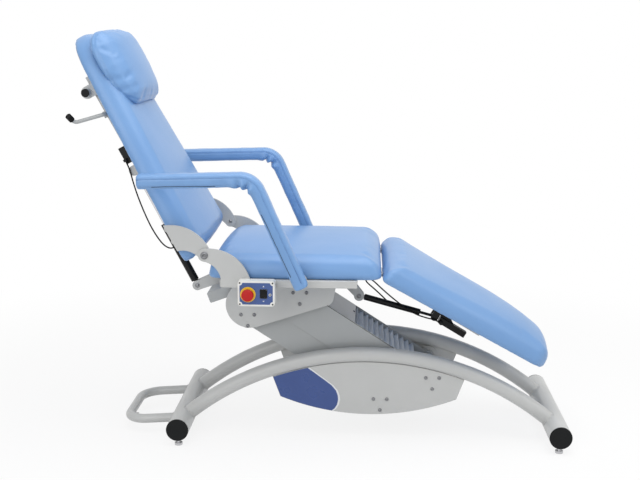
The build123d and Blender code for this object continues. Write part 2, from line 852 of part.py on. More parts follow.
# Seat frame: two box rails with the armrest ears, and the cross members
rail_z = seat_z - rail_height / 2
armrest_pivot = Vector(seat_x + armrest_pivot_x, 0, seat_z + armrest_pivot_z)
with BuildPart() as seat_frame:
    for _, side in sides:
        rail_end = Plane(
            origin=(seat_x + rail_rear_x, side * rail_y, rail_z), x_dir=(0, 1, 0), z_dir=(1, 0, 0)
        )
        with BuildSketch(rail_end):
            RectangleRounded(rail_width, rail_height, tube_wall)
            Rectangle(rail_width - 2 * tube_wall, rail_height - 2 * tube_wall, mode=Mode.SUBTRACT)
        extrude(amount=rail_front_x - rail_rear_x)
        with BuildSketch(side_plane(armrest_pivot.X, armrest_pivot.Z, side * rail_outer / 2)):
            Circle(armrest_hub_diameter / 2)
            with Locations((0, rail_bottom - armrest_pivot.Z)):
                Rectangle(
                    armrest_hub_diameter, armrest_pivot.Z - rail_bottom, align=(Align.CENTER, Align.MIN)
                )
        extrude(amount=-side * armrest_bracket)
    member_half = rail_outer / 2 - rail_width - weld_gap
    for member_x in cross_member_xs:
        with BuildSketch(side_plane(seat_x + member_x, rail_z)):
            Rectangle(cross_member_width, rail_height)
            Rectangle(cross_member_width - 2 * tube_wall, rail_height - 2 * tube_wall, mode=Mode.SUBTRACT)
        extrude(amount=member_half, both=True)
save(seat_frame, "seat_frame")

# Knee hinges: pin, two outer knuckles on the seat and one inner knuckle on the leg
hinge_half = knee_hinge_width / 2
knuckle_half = hinge_half / 2
board_bottom = seat_z - knee.Z


def knuckle(plane_at, y, width, drop, plate):
    """Barrel with a tongue dropping to the leaf level, centred on a place across."""
    with BuildSketch(plane_at(y)) as outline:
        Circle(knee_barrel_diameter / 2)
        with Locations((0, -drop - knee_leaf)):
            Rectangle(knee_leaf, drop + knee_leaf, align=(Align.MIN if plate > 0 else Align.MAX, Align.MIN))
        with Locations((0, -drop)):
            Rectangle(abs(plate), knee_leaf, align=(Align.MIN if plate > 0 else Align.MAX, Align.MAX))
    extrude(outline.sketch, amount=width / 2, both=True)


def at_knee(y):
    return side_plane(knee.X, knee.Z, y)


def on_leg(y):
    return footward(knee, leg_slope, y)


with BuildPart() as seat_knuckles:
    for _, side in sides:
        middle = side * knee_hinge_spacing / 2
        for end in (-1, 1):
            tongue_y = middle + end * (hinge_half + knuckle_half) / 2
            knuckle(at_knee, tongue_y, knuckle_half - weld_gap, -board_bottom, -knee_leaf_setback - knee_leaf)
        with BuildSketch(side_plane(knee.X - knee_leaf_setback, seat_z, middle)):
            Rectangle(knee_leaf_length, knee_leaf, align=(Align.MAX, Align.MAX))
        extrude(amount=hinge_half, both=True)
        with BuildSketch(at_knee(middle)):
            Circle(knee_pin_diameter / 2)
        extrude(amount=hinge_half, both=True)
save(seat_knuckles, "knee_hinges_seat_half")

with BuildPart() as leg_knuckles:
    for _, side in sides:
        middle = side * knee_hinge_spacing / 2
        knuckle(on_leg, middle, 2 * (knuckle_half - weld_gap), leg_drop, knee_leaf_setback + knee_leaf)
        with BuildSketch(on_leg(middle)):
            with Locations((knee_leaf_setback, -leg_drop)):
                Rectangle(knee_leaf_length, knee_leaf, align=(Align.MIN, Align.MAX))
        extrude(amount=hinge_half, both=True)
        with BuildSketch(on_leg(middle)):
            Circle(knee_pin_diameter / 2 + running_fit)
        extrude(amount=hinge_half, both=True, mode=Mode.SUBTRACT)
save(leg_knuckles, "knee_hinges_leg_half")

# Seat cushion and its board
seat_start = Vector(seat_x + seat_rear_x, 0, seat_z)
seat_corners = (board_inset, board_inset)


def seat_half(distance):
    return pad_half


with BuildPart() as seat_board:
    board_body(seat_start, 0, seat_length, seat_half, seat_corners)
save(seat_board, "seat_board")

with BuildPart() as seat_cushion:
    pad_body(
        seat_start, 0, seat_length, seat_half, (seat_side, seat_crown),
        ((seat_end_roll, seat_corner), (seat_end_roll, seat_corner)),
    )
    board_body(seat_start, 0, seat_length, seat_half, seat_corners, weld_gap, Mode.SUBTRACT)
    for _, side in sides:
        with BuildSketch(at_knee(side * knee_hinge_spacing / 2)):
            Rectangle(2 * knee_notch, 4 * knee_notch)
        extrude(amount=hinge_half + arm_gap, both=True, mode=Mode.SUBTRACT)
save(seat_cushion, "seat_cushion")

# Backrest: places on it are given along it from the hinge and behind its rear face
back_up = Vector(-cos(radians(back_slope)), 0, sin(radians(back_slope)))
back_out = Vector(sin(radians(back_slope)), 0, cos(radians(back_slope)))


def back_place(along, behind, y=0.0):
    """Point of the backrest, along it from the hinge and behind its rear face."""
    place = hinge + back_up * along - back_out * (back_front + behind)
    return Vector(place.X, y, place.Z)


back_start = back_place(back_heel + back_length, 0)
back_corners = (back_head_corner - board_inset, board_inset)


def back_half(distance):
    """Half the backrest's width at a distance from its head end."""
    return back_head_half + (pad_half - back_head_half) * distance / back_length


def back_edge(along):
    """Half width of the backrest's board at a place along it from the hinge."""
    return back_half(back_heel + back_length - along) - board_inset


with BuildPart() as back_board:
    board_body(back_start, back_slope, back_length, back_half, back_corners)
save(back_board, "back_board")

with BuildPart() as back_cushion:
    pad_body(
        back_start, back_slope, back_length, back_half, (back_side, back_crown),
        ((back_head_roll, back_head_corner), (back_heel_roll, seat_corner)),
    )
    board_body(back_start, back_slope, back_length, back_half, back_corners, weld_gap, Mode.SUBTRACT)
    for along in spacer_alongs:
        with BuildSketch(headward(hinge, back_slope)):
            with Locations((along, -spacer_depth)):
                Circle(spacer_diameter / 2 + seat_gap)
        extrude(amount=pad_half, both=True, mode=Mode.SUBTRACT)
save(back_cushion, "back_cushion")

# Crescent hinge plates: the same blade twice, on the seat and on the backrest


def crescent(foot):
    """Blade from the hinge boss to its foot: two arcs and a straight root."""
    out_x, out_z = crescent_out
    in_x, in_z = crescent_in
    with BuildLine() as outline:
        ThreePointArc((0, -crescent_boss), (-crescent_boss, 0), (0, crescent_boss))
        ThreePointArc((0, crescent_boss), (out_x, -out_z), (crescent_far, -crescent_level))
        Polyline(
            (crescent_far, -crescent_level), (crescent_far, -foot),
            (crescent_near, -foot), (crescent_near, -crescent_level),
        )
        ThreePointArc((crescent_near, -crescent_level), (in_x, -in_z), (0, -crescent_boss))
    return outline.line


seat_foot = hinge.Z - rail_bottom
with BuildPart() as seat_crescents:
    for _, side in sides:
        with BuildSketch(side_plane(hinge.X, hinge.Z, side * crescent_face)):
            make_face(crescent(seat_foot).edges())
            Circle(hinge_bolt_diameter / 2 + running_fit, mode=Mode.SUBTRACT)
        extrude(amount=-side * crescent_thickness)
save(seat_crescents, "seat_hinge_plates")

back_face = crescent_face - seat_gap
with BuildPart() as back_crescents:
    for _, side in sides:
        with BuildSketch(headward(hinge, back_slope, side * back_face)):
            make_face(crescent(seat_foot).edges())
            with Locations((0, -back_crescent_foot)):
                Rectangle(
                    2 * crescent_far, seat_foot, align=(Align.CENTER, Align.MAX), mode=Mode.SUBTRACT
                )
            Circle(hinge_bolt_diameter / 2 + running_fit, mode=Mode.SUBTRACT)
        extrude(amount=-side * crescent_thickness)
        for along in spacer_alongs:
            with BuildSketch(headward(hinge, back_slope, side * (back_face - crescent_thickness))):
                with Locations((along, -spacer_depth)):
                    Circle(spacer_diameter / 2)
            extrude(amount=side * (back_edge(along - spacer_diameter) - back_face + crescent_thickness))
save(back_crescents, "back_hinge_plates")

with BuildPart() as pivot_bolts:
    for _, side in sides:
        inner = back_face - crescent_thickness - arm_gap
        with BuildSketch(side_plane(hinge.X, hinge.Z, side * inner)):
            Circle(hinge_bolt_diameter / 2)
        extrude(amount=-side * (crescent_face + crescent_thickness - inner))
        with BuildSketch(side_plane(hinge.X, hinge.Z, side * (crescent_face + crescent_thickness))):
            Circle(hinge_head_diameter / 2)
        extrude(amount=-side * hinge_head_height)
        ear_face = side * (rail_outer / 2 + armrest_bracket)
        with BuildSketch(side_plane(armrest_pivot.X, armrest_pivot.Z, ear_face)):
            Circle(armrest_bolt_diameter / 2)
        extrude(amount=-side * (armrest_spacing - rail_outer) / 2)
save(pivot_bolts, "pivot_bolts")

# Frame behind the backrest: rails, cross members, spring ears and lever bearing
spring_cheek = cheek_gap / 2
with BuildPart() as back_frame:
    behind_plane = headward(hinge, back_slope)
    rail_depth = back_front + rail_height / 2
    for _, side in sides:
        rail_mouth = Plane(
            origin=back_place(back_rail_low, rail_height / 2, side * back_rail_spacing / 2),
            x_dir=(0, 1, 0), z_dir=back_up,
        )
        with BuildSketch(rail_mouth):
            Rectangle(back_rail_width, rail_height)
            Rectangle(back_rail_width - 2 * tube_wall, rail_height - 2 * tube_wall, mode=Mode.SUBTRACT)
        extrude(amount=back_rail_high - back_rail_low)
    for along in back_member_alongs:
        with BuildSketch(headward(hinge, back_slope)):
            with Locations((along, -rail_depth)):
                Rectangle(back_rail_width, rail_height)
        extrude(amount=back_rail_spacing / 2, both=True)
    for _, side in sides:
        with BuildSketch(headward(hinge, back_slope, side * spring_cheek)):
            with Locations((back_spring_along, -back_front - back_spring_behind)):
                Circle(bracket_round)
                Rectangle(
                    2 * bracket_round, back_spring_behind - rail_height, align=(Align.CENTER, Align.MIN)
                )
        extrude(amount=side * cheek_thickness)
    with BuildSketch(headward(hinge, back_slope)):
        block_face = back_front + back_spring_behind - back_block_depth / 2
        gusset_foot = back_spring_along - back_rail_width / 2
        gusset_head = back_spring_along + block_start
        with BuildLine():
            Polyline(
                (gusset_foot, -back_front - rail_height),
                (gusset_foot + back_rail_width, -back_front - rail_height),
                (gusset_head + back_block_length, -block_face),
                (gusset_head, -block_face),
                close=True,
            )
        make_face()
    extrude(amount=cheek_thickness / 2, both=True)
    with BuildSketch(headward(hinge, back_slope, -lever_bearing_y)):
        with Locations((lever_along, -back_front)):
            Rectangle(lever_bearing_width, 2 * lever_behind, align=(Align.CENTER, Align.MAX))
        with Locations((lever_along, -back_front - lever_behind)):
            Circle(lever_diameter / 2 + running_fit, mode=Mode.SUBTRACT)
    extrude(amount=lever_bearing_width / 2, both=True)
    gland_seat = Plane(
        origin=back_place(back_cable_alongs[-1], rail_height, -cable_side), x_dir=back_up, z_dir=-back_out
    )
    with BuildSketch(gland_seat):
        Circle(gland_diameter / 2)
    extrude(amount=back_cable_behinds[-1] - rail_height)
save(back_frame, "back_frame")

# Black block beside the back spring's rod end, with the gland of its release cable
with BuildPart() as back_block:
    with BuildSketch(headward(hinge, back_slope)):
        with Locations((back_spring_along + block_start, -back_front - back_spring_behind)):
            Rectangle(back_block_length, back_block_depth, align=(Align.MIN, Align.CENTER))
    extrude(amount=block_width / 2, both=True)
    with BuildSketch(headward(hinge, back_slope, -block_width / 2)):
        with Locations((back_cable_start, -back_front - back_cable_behinds[0])):
            Rectangle(gland_length, gland_diameter, align=(Align.MIN, Align.CENTER))
    extrude(amount=-(cable_side + gland_diameter / 2 - block_width / 2))
save(back_block, "back_spring_mount")

# Push bar across the back, on two ears, with black plugs
with BuildPart() as push_bar:
    bar_plane = headward(back_place(push_bar_along, push_bar_behind), back_slope)
    with BuildSketch(bar_plane):
        Circle(push_bar_diameter / 2)
        Circle(push_bar_diameter / 2 - push_bar_wall, mode=Mode.SUBTRACT)
    extrude(amount=push_bar_length / 2, both=True)
    for _, side in sides:
        ear_y = side * push_bar_lug_spacing / 2
        with BuildSketch(headward(back_place(push_bar_along, push_bar_behind), back_slope, ear_y)):
            Circle(push_bar_lug_width / 2)
            Rectangle(push_bar_lug_width, push_bar_behind, align=(Align.CENTER, Align.MIN))
            Circle(push_bar_diameter / 2 - push_bar_wall, mode=Mode.SUBTRACT)
        extrude(amount=push_bar_lug / 2, both=True)
save(push_bar, "push_bar")

with BuildPart() as bar_plugs:
    for _, side in sides:
        bar_end = side * push_bar_length / 2
        plug_plane = headward(back_place(push_bar_along, push_bar_behind), back_slope, bar_end)
        with BuildSketch(plug_plane):
            Circle(push_bar_diameter / 2)
        extrude(amount=side * push_bar_wall)
        with BuildSketch(plug_plane):
            Circle(push_bar_diameter / 2 - push_bar_wall - running_fit)
        extrude(amount=-side * plug_length)
save(bar_plugs, "push_bar_plugs")

# Release lever: cross shaft, swept arm and turned-out tip with a black grip
shaft_place = back_place(lever_along, lever_behind)
lever_points = [
    (0, 0, lever_shaft_inner),
    (0, 0, lever_arm_y),
    (lever_climb, -lever_reach, lever_arm_y),
    (lever_climb + lever_tip, -lever_reach, lever_arm_y + lever_tip),
]
lever_path_points = [
    shaft_place + back_up * up + back_out * out - Vector(0, y, 0) for up, out, y in lever_points
]
with BuildPart() as lever:
    with BuildLine() as lever_path:
        FilletPolyline(*lever_path_points, radius=lever_bend)
    with BuildSketch(Plane(origin=lever_path.line @ 0, z_dir=lever_path.line % 0)):
        Circle(lever_diameter / 2)
    sweep()
save(lever, "release_lever")

tip_direction = (lever_path_points[3] - lever_path_points[2]).normalized()
with BuildPart() as grip:
    with BuildSketch(Plane(origin=lever_path_points[3], z_dir=tip_direction)):
        Circle(grip_diameter / 2)
    extrude(amount=knee_leaf)
    with BuildSketch(Plane(origin=lever_path_points[3], z_dir=tip_direction)):
        Circle(grip_diameter / 2)
        Circle(lever_diameter / 2 + running_fit, mode=Mode.SUBTRACT)
    extrude(amount=-(grip_length - knee_leaf))
save(grip, "lever_grip")

# Head pillow, lying on the crown of the backrest
pillow_start = back_place(pillow_low + pillow_length, 0)
with BuildPart() as pillow:
    pillow_shares = [1 - cos(radians(angle)) for angle in (0, 22, 45, 90)]
    pillow_distances = [pillow_roll * share for share in pillow_shares]
    pillow_distances += [pillow_length - pillow_roll * share for share in reversed(pillow_shares)]
    for distance in pillow_distances:
        inside = min(distance, pillow_length - distance)
        full = rounding(inside, pillow_roll)
        half = pillow_low_half + (pillow_half - pillow_low_half) * (1 - (distance / pillow_length) ** 2)
        half -= pillow_draw * (1 - full)
        to_head = back_heel + back_length - pillow_low - pillow_length + distance
        crown_half = back_half(to_head) - pad_draw - pad_roll
        crown_fall = (back_crown - back_side) * (1 - shoulder_share)
        rest_z = back_crown + pillow_gap
        edge_z = rest_z - crown_fall * (half / crown_half) ** 2
        height = pillow_lip + (pillow_thickness - pillow_lip) * full
        brow = half - pillow_draw
        with BuildSketch(across(pillow_start, back_slope, distance)):
            with BuildLine():
                ThreePointArc((-half, edge_z), (0, rest_z), (half, edge_z))
                ThreePointArc(
                    (half, edge_z), (half + pad_draw * full, edge_z + height * bulge_share),
                    (brow, edge_z + height * (bulge_share + shoulder_share)),
                )
                ThreePointArc(
                    (brow, edge_z + height * (bulge_share + shoulder_share)), (0, rest_z + height),
                    (-brow, edge_z + height * (bulge_share + shoulder_share)),
                )
                ThreePointArc(
                    (-brow, edge_z + height * (bulge_share + shoulder_share)),
                    (-half - pad_draw * full, edge_z + height * bulge_share), (-half, edge_z),
                )
            make_face()
    loft(ruled=True)
save(pillow, "head_pillow")

# Leg rest: places on it are given along it from the knee and below its board
leg_run = Vector(cos(radians(leg_slope)), 0, -sin(radians(leg_slope)))
leg_out = Vector(sin(radians(leg_slope)), 0, cos(radians(leg_slope)))
leg_corners = (board_inset, board_inset)
leg_start_place = knee + leg_run * leg_start - leg_out * leg_drop


def leg_place(along, below, y=0.0):
    """Point of the leg rest, along it from the knee and below its board."""
    place = knee + leg_run * along - leg_out * (leg_drop + below)
    return Vector(place.X, y, place.Z)


def leg_half(distance):
    """Half the leg rest's width at a distance from its knee end."""
    return pad_half + (leg_foot_half - pad_half) * distance / leg_length


with BuildPart() as leg_board:
    board_body(leg_start_place, leg_slope, leg_length, leg_half, leg_corners)
save(leg_board, "leg_board")

with BuildPart() as leg_cushion:
    pad_body(
        leg_start_place, leg_slope, leg_length, leg_half, (leg_side, leg_crown),
        ((leg_knee_roll, leg_corner), (leg_foot_roll, leg_corner)),
    )
    board_body(leg_start_place, leg_slope, leg_length, leg_half, leg_corners, weld_gap, Mode.SUBTRACT)
save(leg_cushion, "leg_cushion")

with BuildPart() as leg_frame:
    for _, side in sides:
        leg_mouth = Plane(
            origin=leg_place(leg_rail_low, rail_height / 2, side * leg_rail_spacing / 2),
            x_dir=(0, 1, 0), z_dir=leg_run,
        )
        with BuildSketch(leg_mouth):
            Rectangle(back_rail_width, rail_height)
            Rectangle(back_rail_width - 2 * tube_wall, rail_height - 2 * tube_wall, mode=Mode.SUBTRACT)
        extrude(amount=leg_rail_high - leg_rail_low)
    for along in leg_member_alongs:
        with BuildSketch(footward(knee, leg_slope)):
            with Locations((along, -leg_drop - rail_height / 2)):
                Rectangle(back_rail_width, rail_height)
        extrude(amount=leg_rail_spacing / 2, both=True)
    for _, side in sides:
        with BuildSketch(footward(knee, leg_slope, side * spring_cheek)):
            with Locations((leg_spring_along, -leg_drop - leg_spring_below)):
                Circle(bracket_round - cheek_thickness)
                Rectangle(
                    2 * (bracket_round - cheek_thickness), leg_spring_below - rail_height,
                    align=(Align.CENTER, Align.MIN),
                )
        extrude(amount=-side * cheek_thickness)
    with BuildSketch(footward(knee, leg_slope)):
        block_face = leg_drop + leg_spring_below - leg_block_depth / 2
        gusset_foot = leg_member_alongs[1] - back_rail_width / 2
        gusset_head = leg_spring_along + leg_block_start
        with BuildLine():
            Polyline(
                (gusset_foot, -leg_drop - rail_height),
                (gusset_foot + back_rail_width, -leg_drop - rail_height),
                (gusset_head + leg_block_length / 2, -block_face),
                (gusset_head, -block_face),
                close=True,
            )
        make_face()
    extrude(amount=cheek_thickness / 2, both=True)
save(leg_frame, "leg_frame")

leg_cable_points = [
    Vector(seat_x + x, y, seat_z + z) for x, y, z in zip(leg_cable_xs, leg_cable_ys, leg_cable_zs)
]
with BuildPart() as leg_block:
    with BuildSketch(footward(knee, leg_slope)):
        with Locations((leg_spring_along + leg_block_start, -leg_drop - leg_spring_below)):
            Rectangle(leg_block_length, leg_block_depth, align=(Align.MIN, Align.CENTER))
    extrude(amount=block_width / 2, both=True)
    with BuildSketch(footward(leg_cable_points[-1], leg_slope, -block_width / 2)):
        Rectangle(gland_length, gland_diameter, align=(Align.MIN, Align.CENTER))
    extrude(amount=cable_side + gland_diameter / 2 - block_width / 2)
save(leg_block, "leg_spring_mount")

# Brackets under the seat frame that carry the feet of both gas springs
back_spring_foot = Vector(seat_x + back_spring_foot_x, 0, seat_z + back_spring_foot_z)
leg_spring_foot = Vector(seat_x + leg_spring_foot_x, 0, seat_z + leg_spring_foot_z)
spring_slot = spring_eye_width / 2 + arm_gap


def bracket(foot, points):
    """Two cheeks from the round at a spring's foot up to the seat frame, and the pin."""
    for _, side in sides:
        with BuildSketch(side_plane(foot.X, foot.Z, side * spring_slot)) as cheek:
            Circle(bracket_round)
            with BuildLine():
                Polyline(*points, close=True)
            make_face()
        extrude(cheek.sketch, amount=-side * cheek_thickness)
    with BuildSketch(side_plane(foot.X, foot.Z)) as pin:
        Circle(spring_pin_diameter / 2)
    extrude(pin.sketch, amount=spring_slot + cheek_thickness + arm_sheet, both=True)


back_rise = rail_bottom - back_spring_foot.Z
leg_rise = rail_bottom - leg_spring_foot.Z
member_rear = cross_member_xs[0] - back_spring_foot_x
member_front = cross_member_xs[2] - leg_spring_foot_x
with BuildPart() as spring_brackets:
    bracket(
        back_spring_foot,
        [
            (0, bracket_round),
            (member_rear - cross_member_width, back_rise),
            (member_rear + cross_member_width / 2, back_rise),
            (member_rear + cross_member_width / 2, back_rise / 2),
            (0, -bracket_round),
        ],
    )
    bracket(
        leg_spring_foot,
        [
            (bracket_round * cos(radians(leg_slope)), bracket_round * sin(radians(leg_slope))),
            (member_front + cross_member_width, leg_rise),
            (member_front - cross_member_width, leg_rise),
            (0, -bracket_round),
        ],
    )
save(spring_brackets, "spring_brackets")


def gas_spring(foot, pin, diameter, rod, length, head_diameter, head_length):
    """Body and rod of a gas spring between its foot and its pin, as two parts."""
    line = pin - foot
    slope = degrees(atan2(line.Z, -line.X))
    along = Plane(origin=foot, x_dir=(0, 1, 0), z_dir=line)
    eye = spring_eye_diameter / 2
    neck = bracket_round - eye + 2 * arm_gap
    with BuildPart() as body:
        with BuildSketch(headward(foot, slope)):
            Circle(eye)
            Circle(spring_pin_diameter / 2 + running_fit, mode=Mode.SUBTRACT)
        extrude(amount=spring_eye_width / 2, both=True)
        with BuildSketch(along.offset(eye - arm_gap)):
            Circle(spring_eye_width / 2)
        extrude(amount=neck)
        with BuildSketch(along.offset(eye + neck - arm_gap)):
            Circle(diameter / 2)
        extrude(amount=length - eye - neck)
        with BuildSketch(along.offset(eye + 2 * neck)):
            Circle(rod / 2 + running_fit)
        extrude(amount=length, mode=Mode.SUBTRACT)
    with BuildPart() as piston:
        with BuildSketch(along.offset(length - diameter)):
            Circle(rod / 2)
        extrude(amount=line.length - length + diameter)
        with BuildSketch(along.offset(line.length - head_length)):
            Circle(head_diameter / 2)
        extrude(amount=head_length)
        with BuildSketch(headward(pin, slope)):
            Circle(eye)
        extrude(amount=spring_eye_width / 2, both=True)
        with BuildSketch(headward(pin, slope)):
            Circle(spring_pin_diameter / 2)
        extrude(amount=spring_pin_length / 2, both=True)
    return body, piston


back_pin = back_place(back_spring_along, back_spring_behind)
back_body, back_piston = gas_spring(
    back_spring_foot, back_pin, back_spring_diameter, back_spring_rod_diameter,
    back_spring_length, back_head_diameter, back_head_length,
)
save(back_body, "back_gas_spring")
save(back_piston, "back_spring_rod")

leg_pin = leg_place(leg_spring_along, leg_spring_below)
leg_body, leg_piston = gas_spring(
    leg_spring_foot, leg_pin, leg_spring_diameter, leg_spring_rod_diameter,
    leg_spring_length, leg_head_diameter, leg_head_length,
)
save(leg_body, "leg_gas_spring")
save(leg_piston, "leg_spring_rod")

# Power box under the rear of the seat, with its inlet socket
power_plane = footward(
    Vector(seat_x + power_x, 0, seat_z + power_z), -power_slope, -power_near_face
)
with BuildPart() as power_box:
    with BuildSketch(power_plane):
        Rectangle(power_length, power_height, align=(Align.MIN, Align.MIN))
        fillet(vertices(), radius=power_corner)
    extrude(amount=-power_width)
    hanger_y = power_width / 2 - power_near_face
    with BuildSketch(side_plane(seat_x + cross_member_xs[0], rail_bottom, hanger_y)):
        Rectangle(cross_member_width, 2 * cross_member_width, align=(Align.CENTER, Align.MAX))
    extrude(amount=power_width / 4, both=True)
    inlet_plane = Plane(
        origin=power_plane.from_local_coords((0, power_height / 2, -power_width / 2)),
        x_dir=(0, 1, 0), z_dir=power_plane.x_dir,
    )
    with BuildSketch(inlet_plane):
        RectangleRounded(inlet_width, inlet_height, power_corner)
        Rectangle(inlet_width / 2, inlet_height / 2, mode=Mode.SUBTRACT)
    extrude(amount=inlet_depth, mode=Mode.SUBTRACT)
save(power_box, "power_box")

# Control box on the sitter's right, with its panel, ring, stop button and rocker
box_back_y = -(crescent_face + crescent_thickness + seat_gap)
box_front_y = box_back_y - box_depth
box_middle = Vector(seat_x + box_x + box_width / 2, 0, seat_z + box_z + box_height / 2)
front_face = side_plane(box_middle.X, box_middle.Z, box_front_y)
stop_place = (stop_x - box_x - box_width / 2, stop_z - box_z - box_height / 2)
switch_place = (switch_x - box_x - box_width / 2, switch_z - box_z - box_height / 2)
with BuildPart() as control_box:
    with BuildSketch(side_plane(box_middle.X, box_middle.Z, box_back_y)):
        RectangleRounded(box_width, box_height, box_corner)
    extrude(amount=box_depth)
    with BuildSketch(side_plane(box_middle.X, box_middle.Z, box_back_y)):
        with Locations((box_width / 2 - box_foot, box_height / 2 - box_foot)):
            Rectangle(2 * box_foot, box_foot)
    extrude(amount=box_back_y + rail_outer / 2)
    with BuildSketch(front_face):
        with Locations(stop_place):
            Circle(stop_neck_diameter / 2 + running_fit)
    extrude(amount=-stop_neck_depth - stop_travel - arm_gap, mode=Mode.SUBTRACT)
    with BuildSketch(front_face):
        with Locations(switch_place):
            Rectangle(switch_width, switch_height)
    extrude(amount=-switch_depth, mode=Mode.SUBTRACT)
    with BuildSketch(front_face.offset(-switch_pivot_depth - switch_axle_diameter)):
        with Locations(switch_place):
            Rectangle(switch_width + 2 * switch_axle_seat, switch_axle_diameter + 2 * running_fit)
    extrude(amount=switch_axle_diameter / 2 + running_fit, both=True, mode=Mode.SUBTRACT)
save(control_box, "control_box")

panel_width = box_width - 2 * label_margin
panel_height = box_height - 2 * label_margin
with BuildPart() as control_panel:
    with BuildSketch(front_face):
        Rectangle(panel_width, panel_height)
        with GridLocations(panel_width, panel_height, 2, 2):
            Circle(box_corner, mode=Mode.SUBTRACT)
        with Locations(stop_place):
            Circle(stop_neck_diameter / 2 + seat_gap, mode=Mode.SUBTRACT)
        with Locations(switch_place):
            Rectangle(switch_width, switch_height, mode=Mode.SUBTRACT)
    extrude(amount=label_thickness)
save(control_panel, "control_panel")

with BuildPart() as stop_ring:
    with BuildSketch(front_face.offset(label_thickness)):
        with Locations(stop_place):
            Circle(stop_ring_diameter / 2)
            Circle(stop_neck_diameter / 2 + seat_gap, mode=Mode.SUBTRACT)
    extrude(amount=stop_ring_thickness)
save(stop_ring, "stop_button_ring")

ring_front = label_thickness + stop_ring_thickness
cap_start = ring_front + stop_travel + seat_gap
with BuildPart() as stop_button:
    with BuildSketch(front_face.offset(-stop_neck_depth)):
        with Locations(stop_place):
            Circle(stop_neck_diameter / 2)
    extrude(amount=stop_neck_depth + cap_start)
    with BuildSketch(front_face.offset(cap_start)):
        with Locations(stop_place):
            Circle(stop_diameter / 2)
    extrude(amount=stop_cap_thickness)
    chamfer(faces().sort_by(Axis.Y)[0].edges(), length=stop_travel)
save(stop_button, "stop_button")

rocker_y = box_front_y + switch_pivot_depth + switch_axle_diameter
rocker_plane = Plane(
    origin=(seat_x + switch_x, rocker_y, seat_z + switch_z), x_dir=(0, 0, 1), z_dir=(1, 0, 0)
)
rocker_front = switch_pivot_depth + switch_axle_diameter + switch_rise
rocker_half = switch_height / 2 - switch_rise
with BuildPart() as rocker:
    with BuildSketch(rocker_plane):
        with BuildLine():
            Polyline(
                (-rocker_half, rocker_front),
                (0, rocker_front - switch_rise / 2),
                (rocker_half, rocker_front),
                (rocker_half - switch_rise, -switch_axle_diameter / 2),
                (switch_rise - rocker_half, -switch_axle_diameter / 2),
                close=True,
            )
        make_face()
    extrude(amount=switch_width / 2 - seat_gap, both=True)
    with BuildSketch(rocker_plane):
        Circle(switch_axle_diameter / 2)
    extrude(amount=switch_width / 2 + switch_axle_seat - seat_gap, both=True)
save(rocker, "lift_switch")

# Armrests: a bent tube with its hub, in a padded sleeve
for name, side in sides:
    armrest_y = side * armrest_spacing / 2
    to_corner = Vector(seat_x + armrest_corner_x, armrest_y, seat_z + armrest_corner_z)
    to_rear = Vector(seat_x + armrest_rear_x, armrest_y, seat_z + armrest_rear_z)
    from_pivot = Vector(armrest_pivot.X, armrest_y, armrest_pivot.Z)
    rearward = (to_rear - to_corner).normalized()
    tube_rear = to_rear - rearward * sleeve_end_pad
    hub_inner = rail_outer / 2 + armrest_bracket + seat_gap
    hub_outer = armrest_spacing / 2 + armrest_bolt_diameter
    with BuildPart() as armrest_tube:
        with BuildLine() as tube_path:
            FilletPolyline(from_pivot, to_corner, tube_rear, radius=armrest_bend_radius)
        with BuildSketch(Plane(origin=tube_path.line @ 0, z_dir=tube_path.line % 0)):
            Circle(armrest_tube_diameter / 2)
            Circle(armrest_tube_diameter / 2 - tube_wall, mode=Mode.SUBTRACT)
        sweep()
        with BuildSketch(side_plane(armrest_pivot.X, armrest_pivot.Z, side * hub_inner)):
            Circle(armrest_hub_diameter / 2)
        extrude(amount=-side * (hub_outer - hub_inner))
        with BuildSketch(side_plane(armrest_pivot.X, armrest_pivot.Z, side * hub_inner)):
            Circle(armrest_bolt_diameter / 2 + running_fit)
        extrude(amount=-side * (armrest_spacing - rail_outer) / 2, mode=Mode.SUBTRACT)
    save(armrest_tube, f"{name}_armrest_tube")
    with BuildPart() as sleeve:
        with BuildLine() as sleeve_path:
            FilletPolyline(from_pivot, to_corner, to_rear, radius=armrest_bend_radius)
        with BuildSketch(Plane(origin=sleeve_path.line @ 0, x_dir=(0, 1, 0), z_dir=sleeve_path.line % 0)):
            RectangleRounded(sleeve_width, sleeve_depth, sleeve_round)
        sweep()
        with BuildSketch(side_plane(armrest_pivot.X, armrest_pivot.Z, armrest_y)):
            Circle(sleeve_depth / 2)
        extrude(amount=sleeve_width / 2, both=True)
        with BuildLine() as bore_path:
            FilletPolyline(from_pivot, to_corner, tube_rear, radius=armrest_bend_radius)
        with BuildSketch(Plane(origin=bore_path.line @ 0, z_dir=bore_path.line % 0)):
            Circle(armrest_tube_diameter / 2 + running_fit)
        sweep(mode=Mode.SUBTRACT)
        with BuildSketch(side_plane(armrest_pivot.X, armrest_pivot.Z, side * rail_outer / 2)):
            Circle(armrest_hub_diameter / 2 + running_fit)
        extrude(amount=-side * (hub_outer + seat_gap - rail_outer / 2), mode=Mode.SUBTRACT)
    save(sleeve, f"{name}_armrest_sleeve")

# Release cables that hang in loops beside the two gas springs
back_cable_points = [
    back_place(along, behind, -cable_side) for along, behind in zip(back_cable_alongs, back_cable_behinds)
]
for node_name, points in (
    ("back_release_cable", back_cable_points), ("leg_release_cable", leg_cable_points),
):
    radii = cord_radii(points)
    with BuildPart() as cable:
        with BuildLine() as cable_path:
            FilletPolyline(*points, radius=radii)
        with BuildSketch(Plane(origin=cable_path.line @ 0, z_dir=cable_path.line % 0)):
            Circle(cable_diameter / 2)
        sweep()
    save(cable, node_name)
    print(node_name, "radii", [round(radius, 1) for radius in radii])
    cable_length = sum(edge.length for edge in cable_path.edges())
    tube = pi * (cable_diameter / 2) ** 2 * cable_length
    print(node_name, "length", round(cable_length, 1), "volume ratio", round(cable.part.volume / tube, 4))
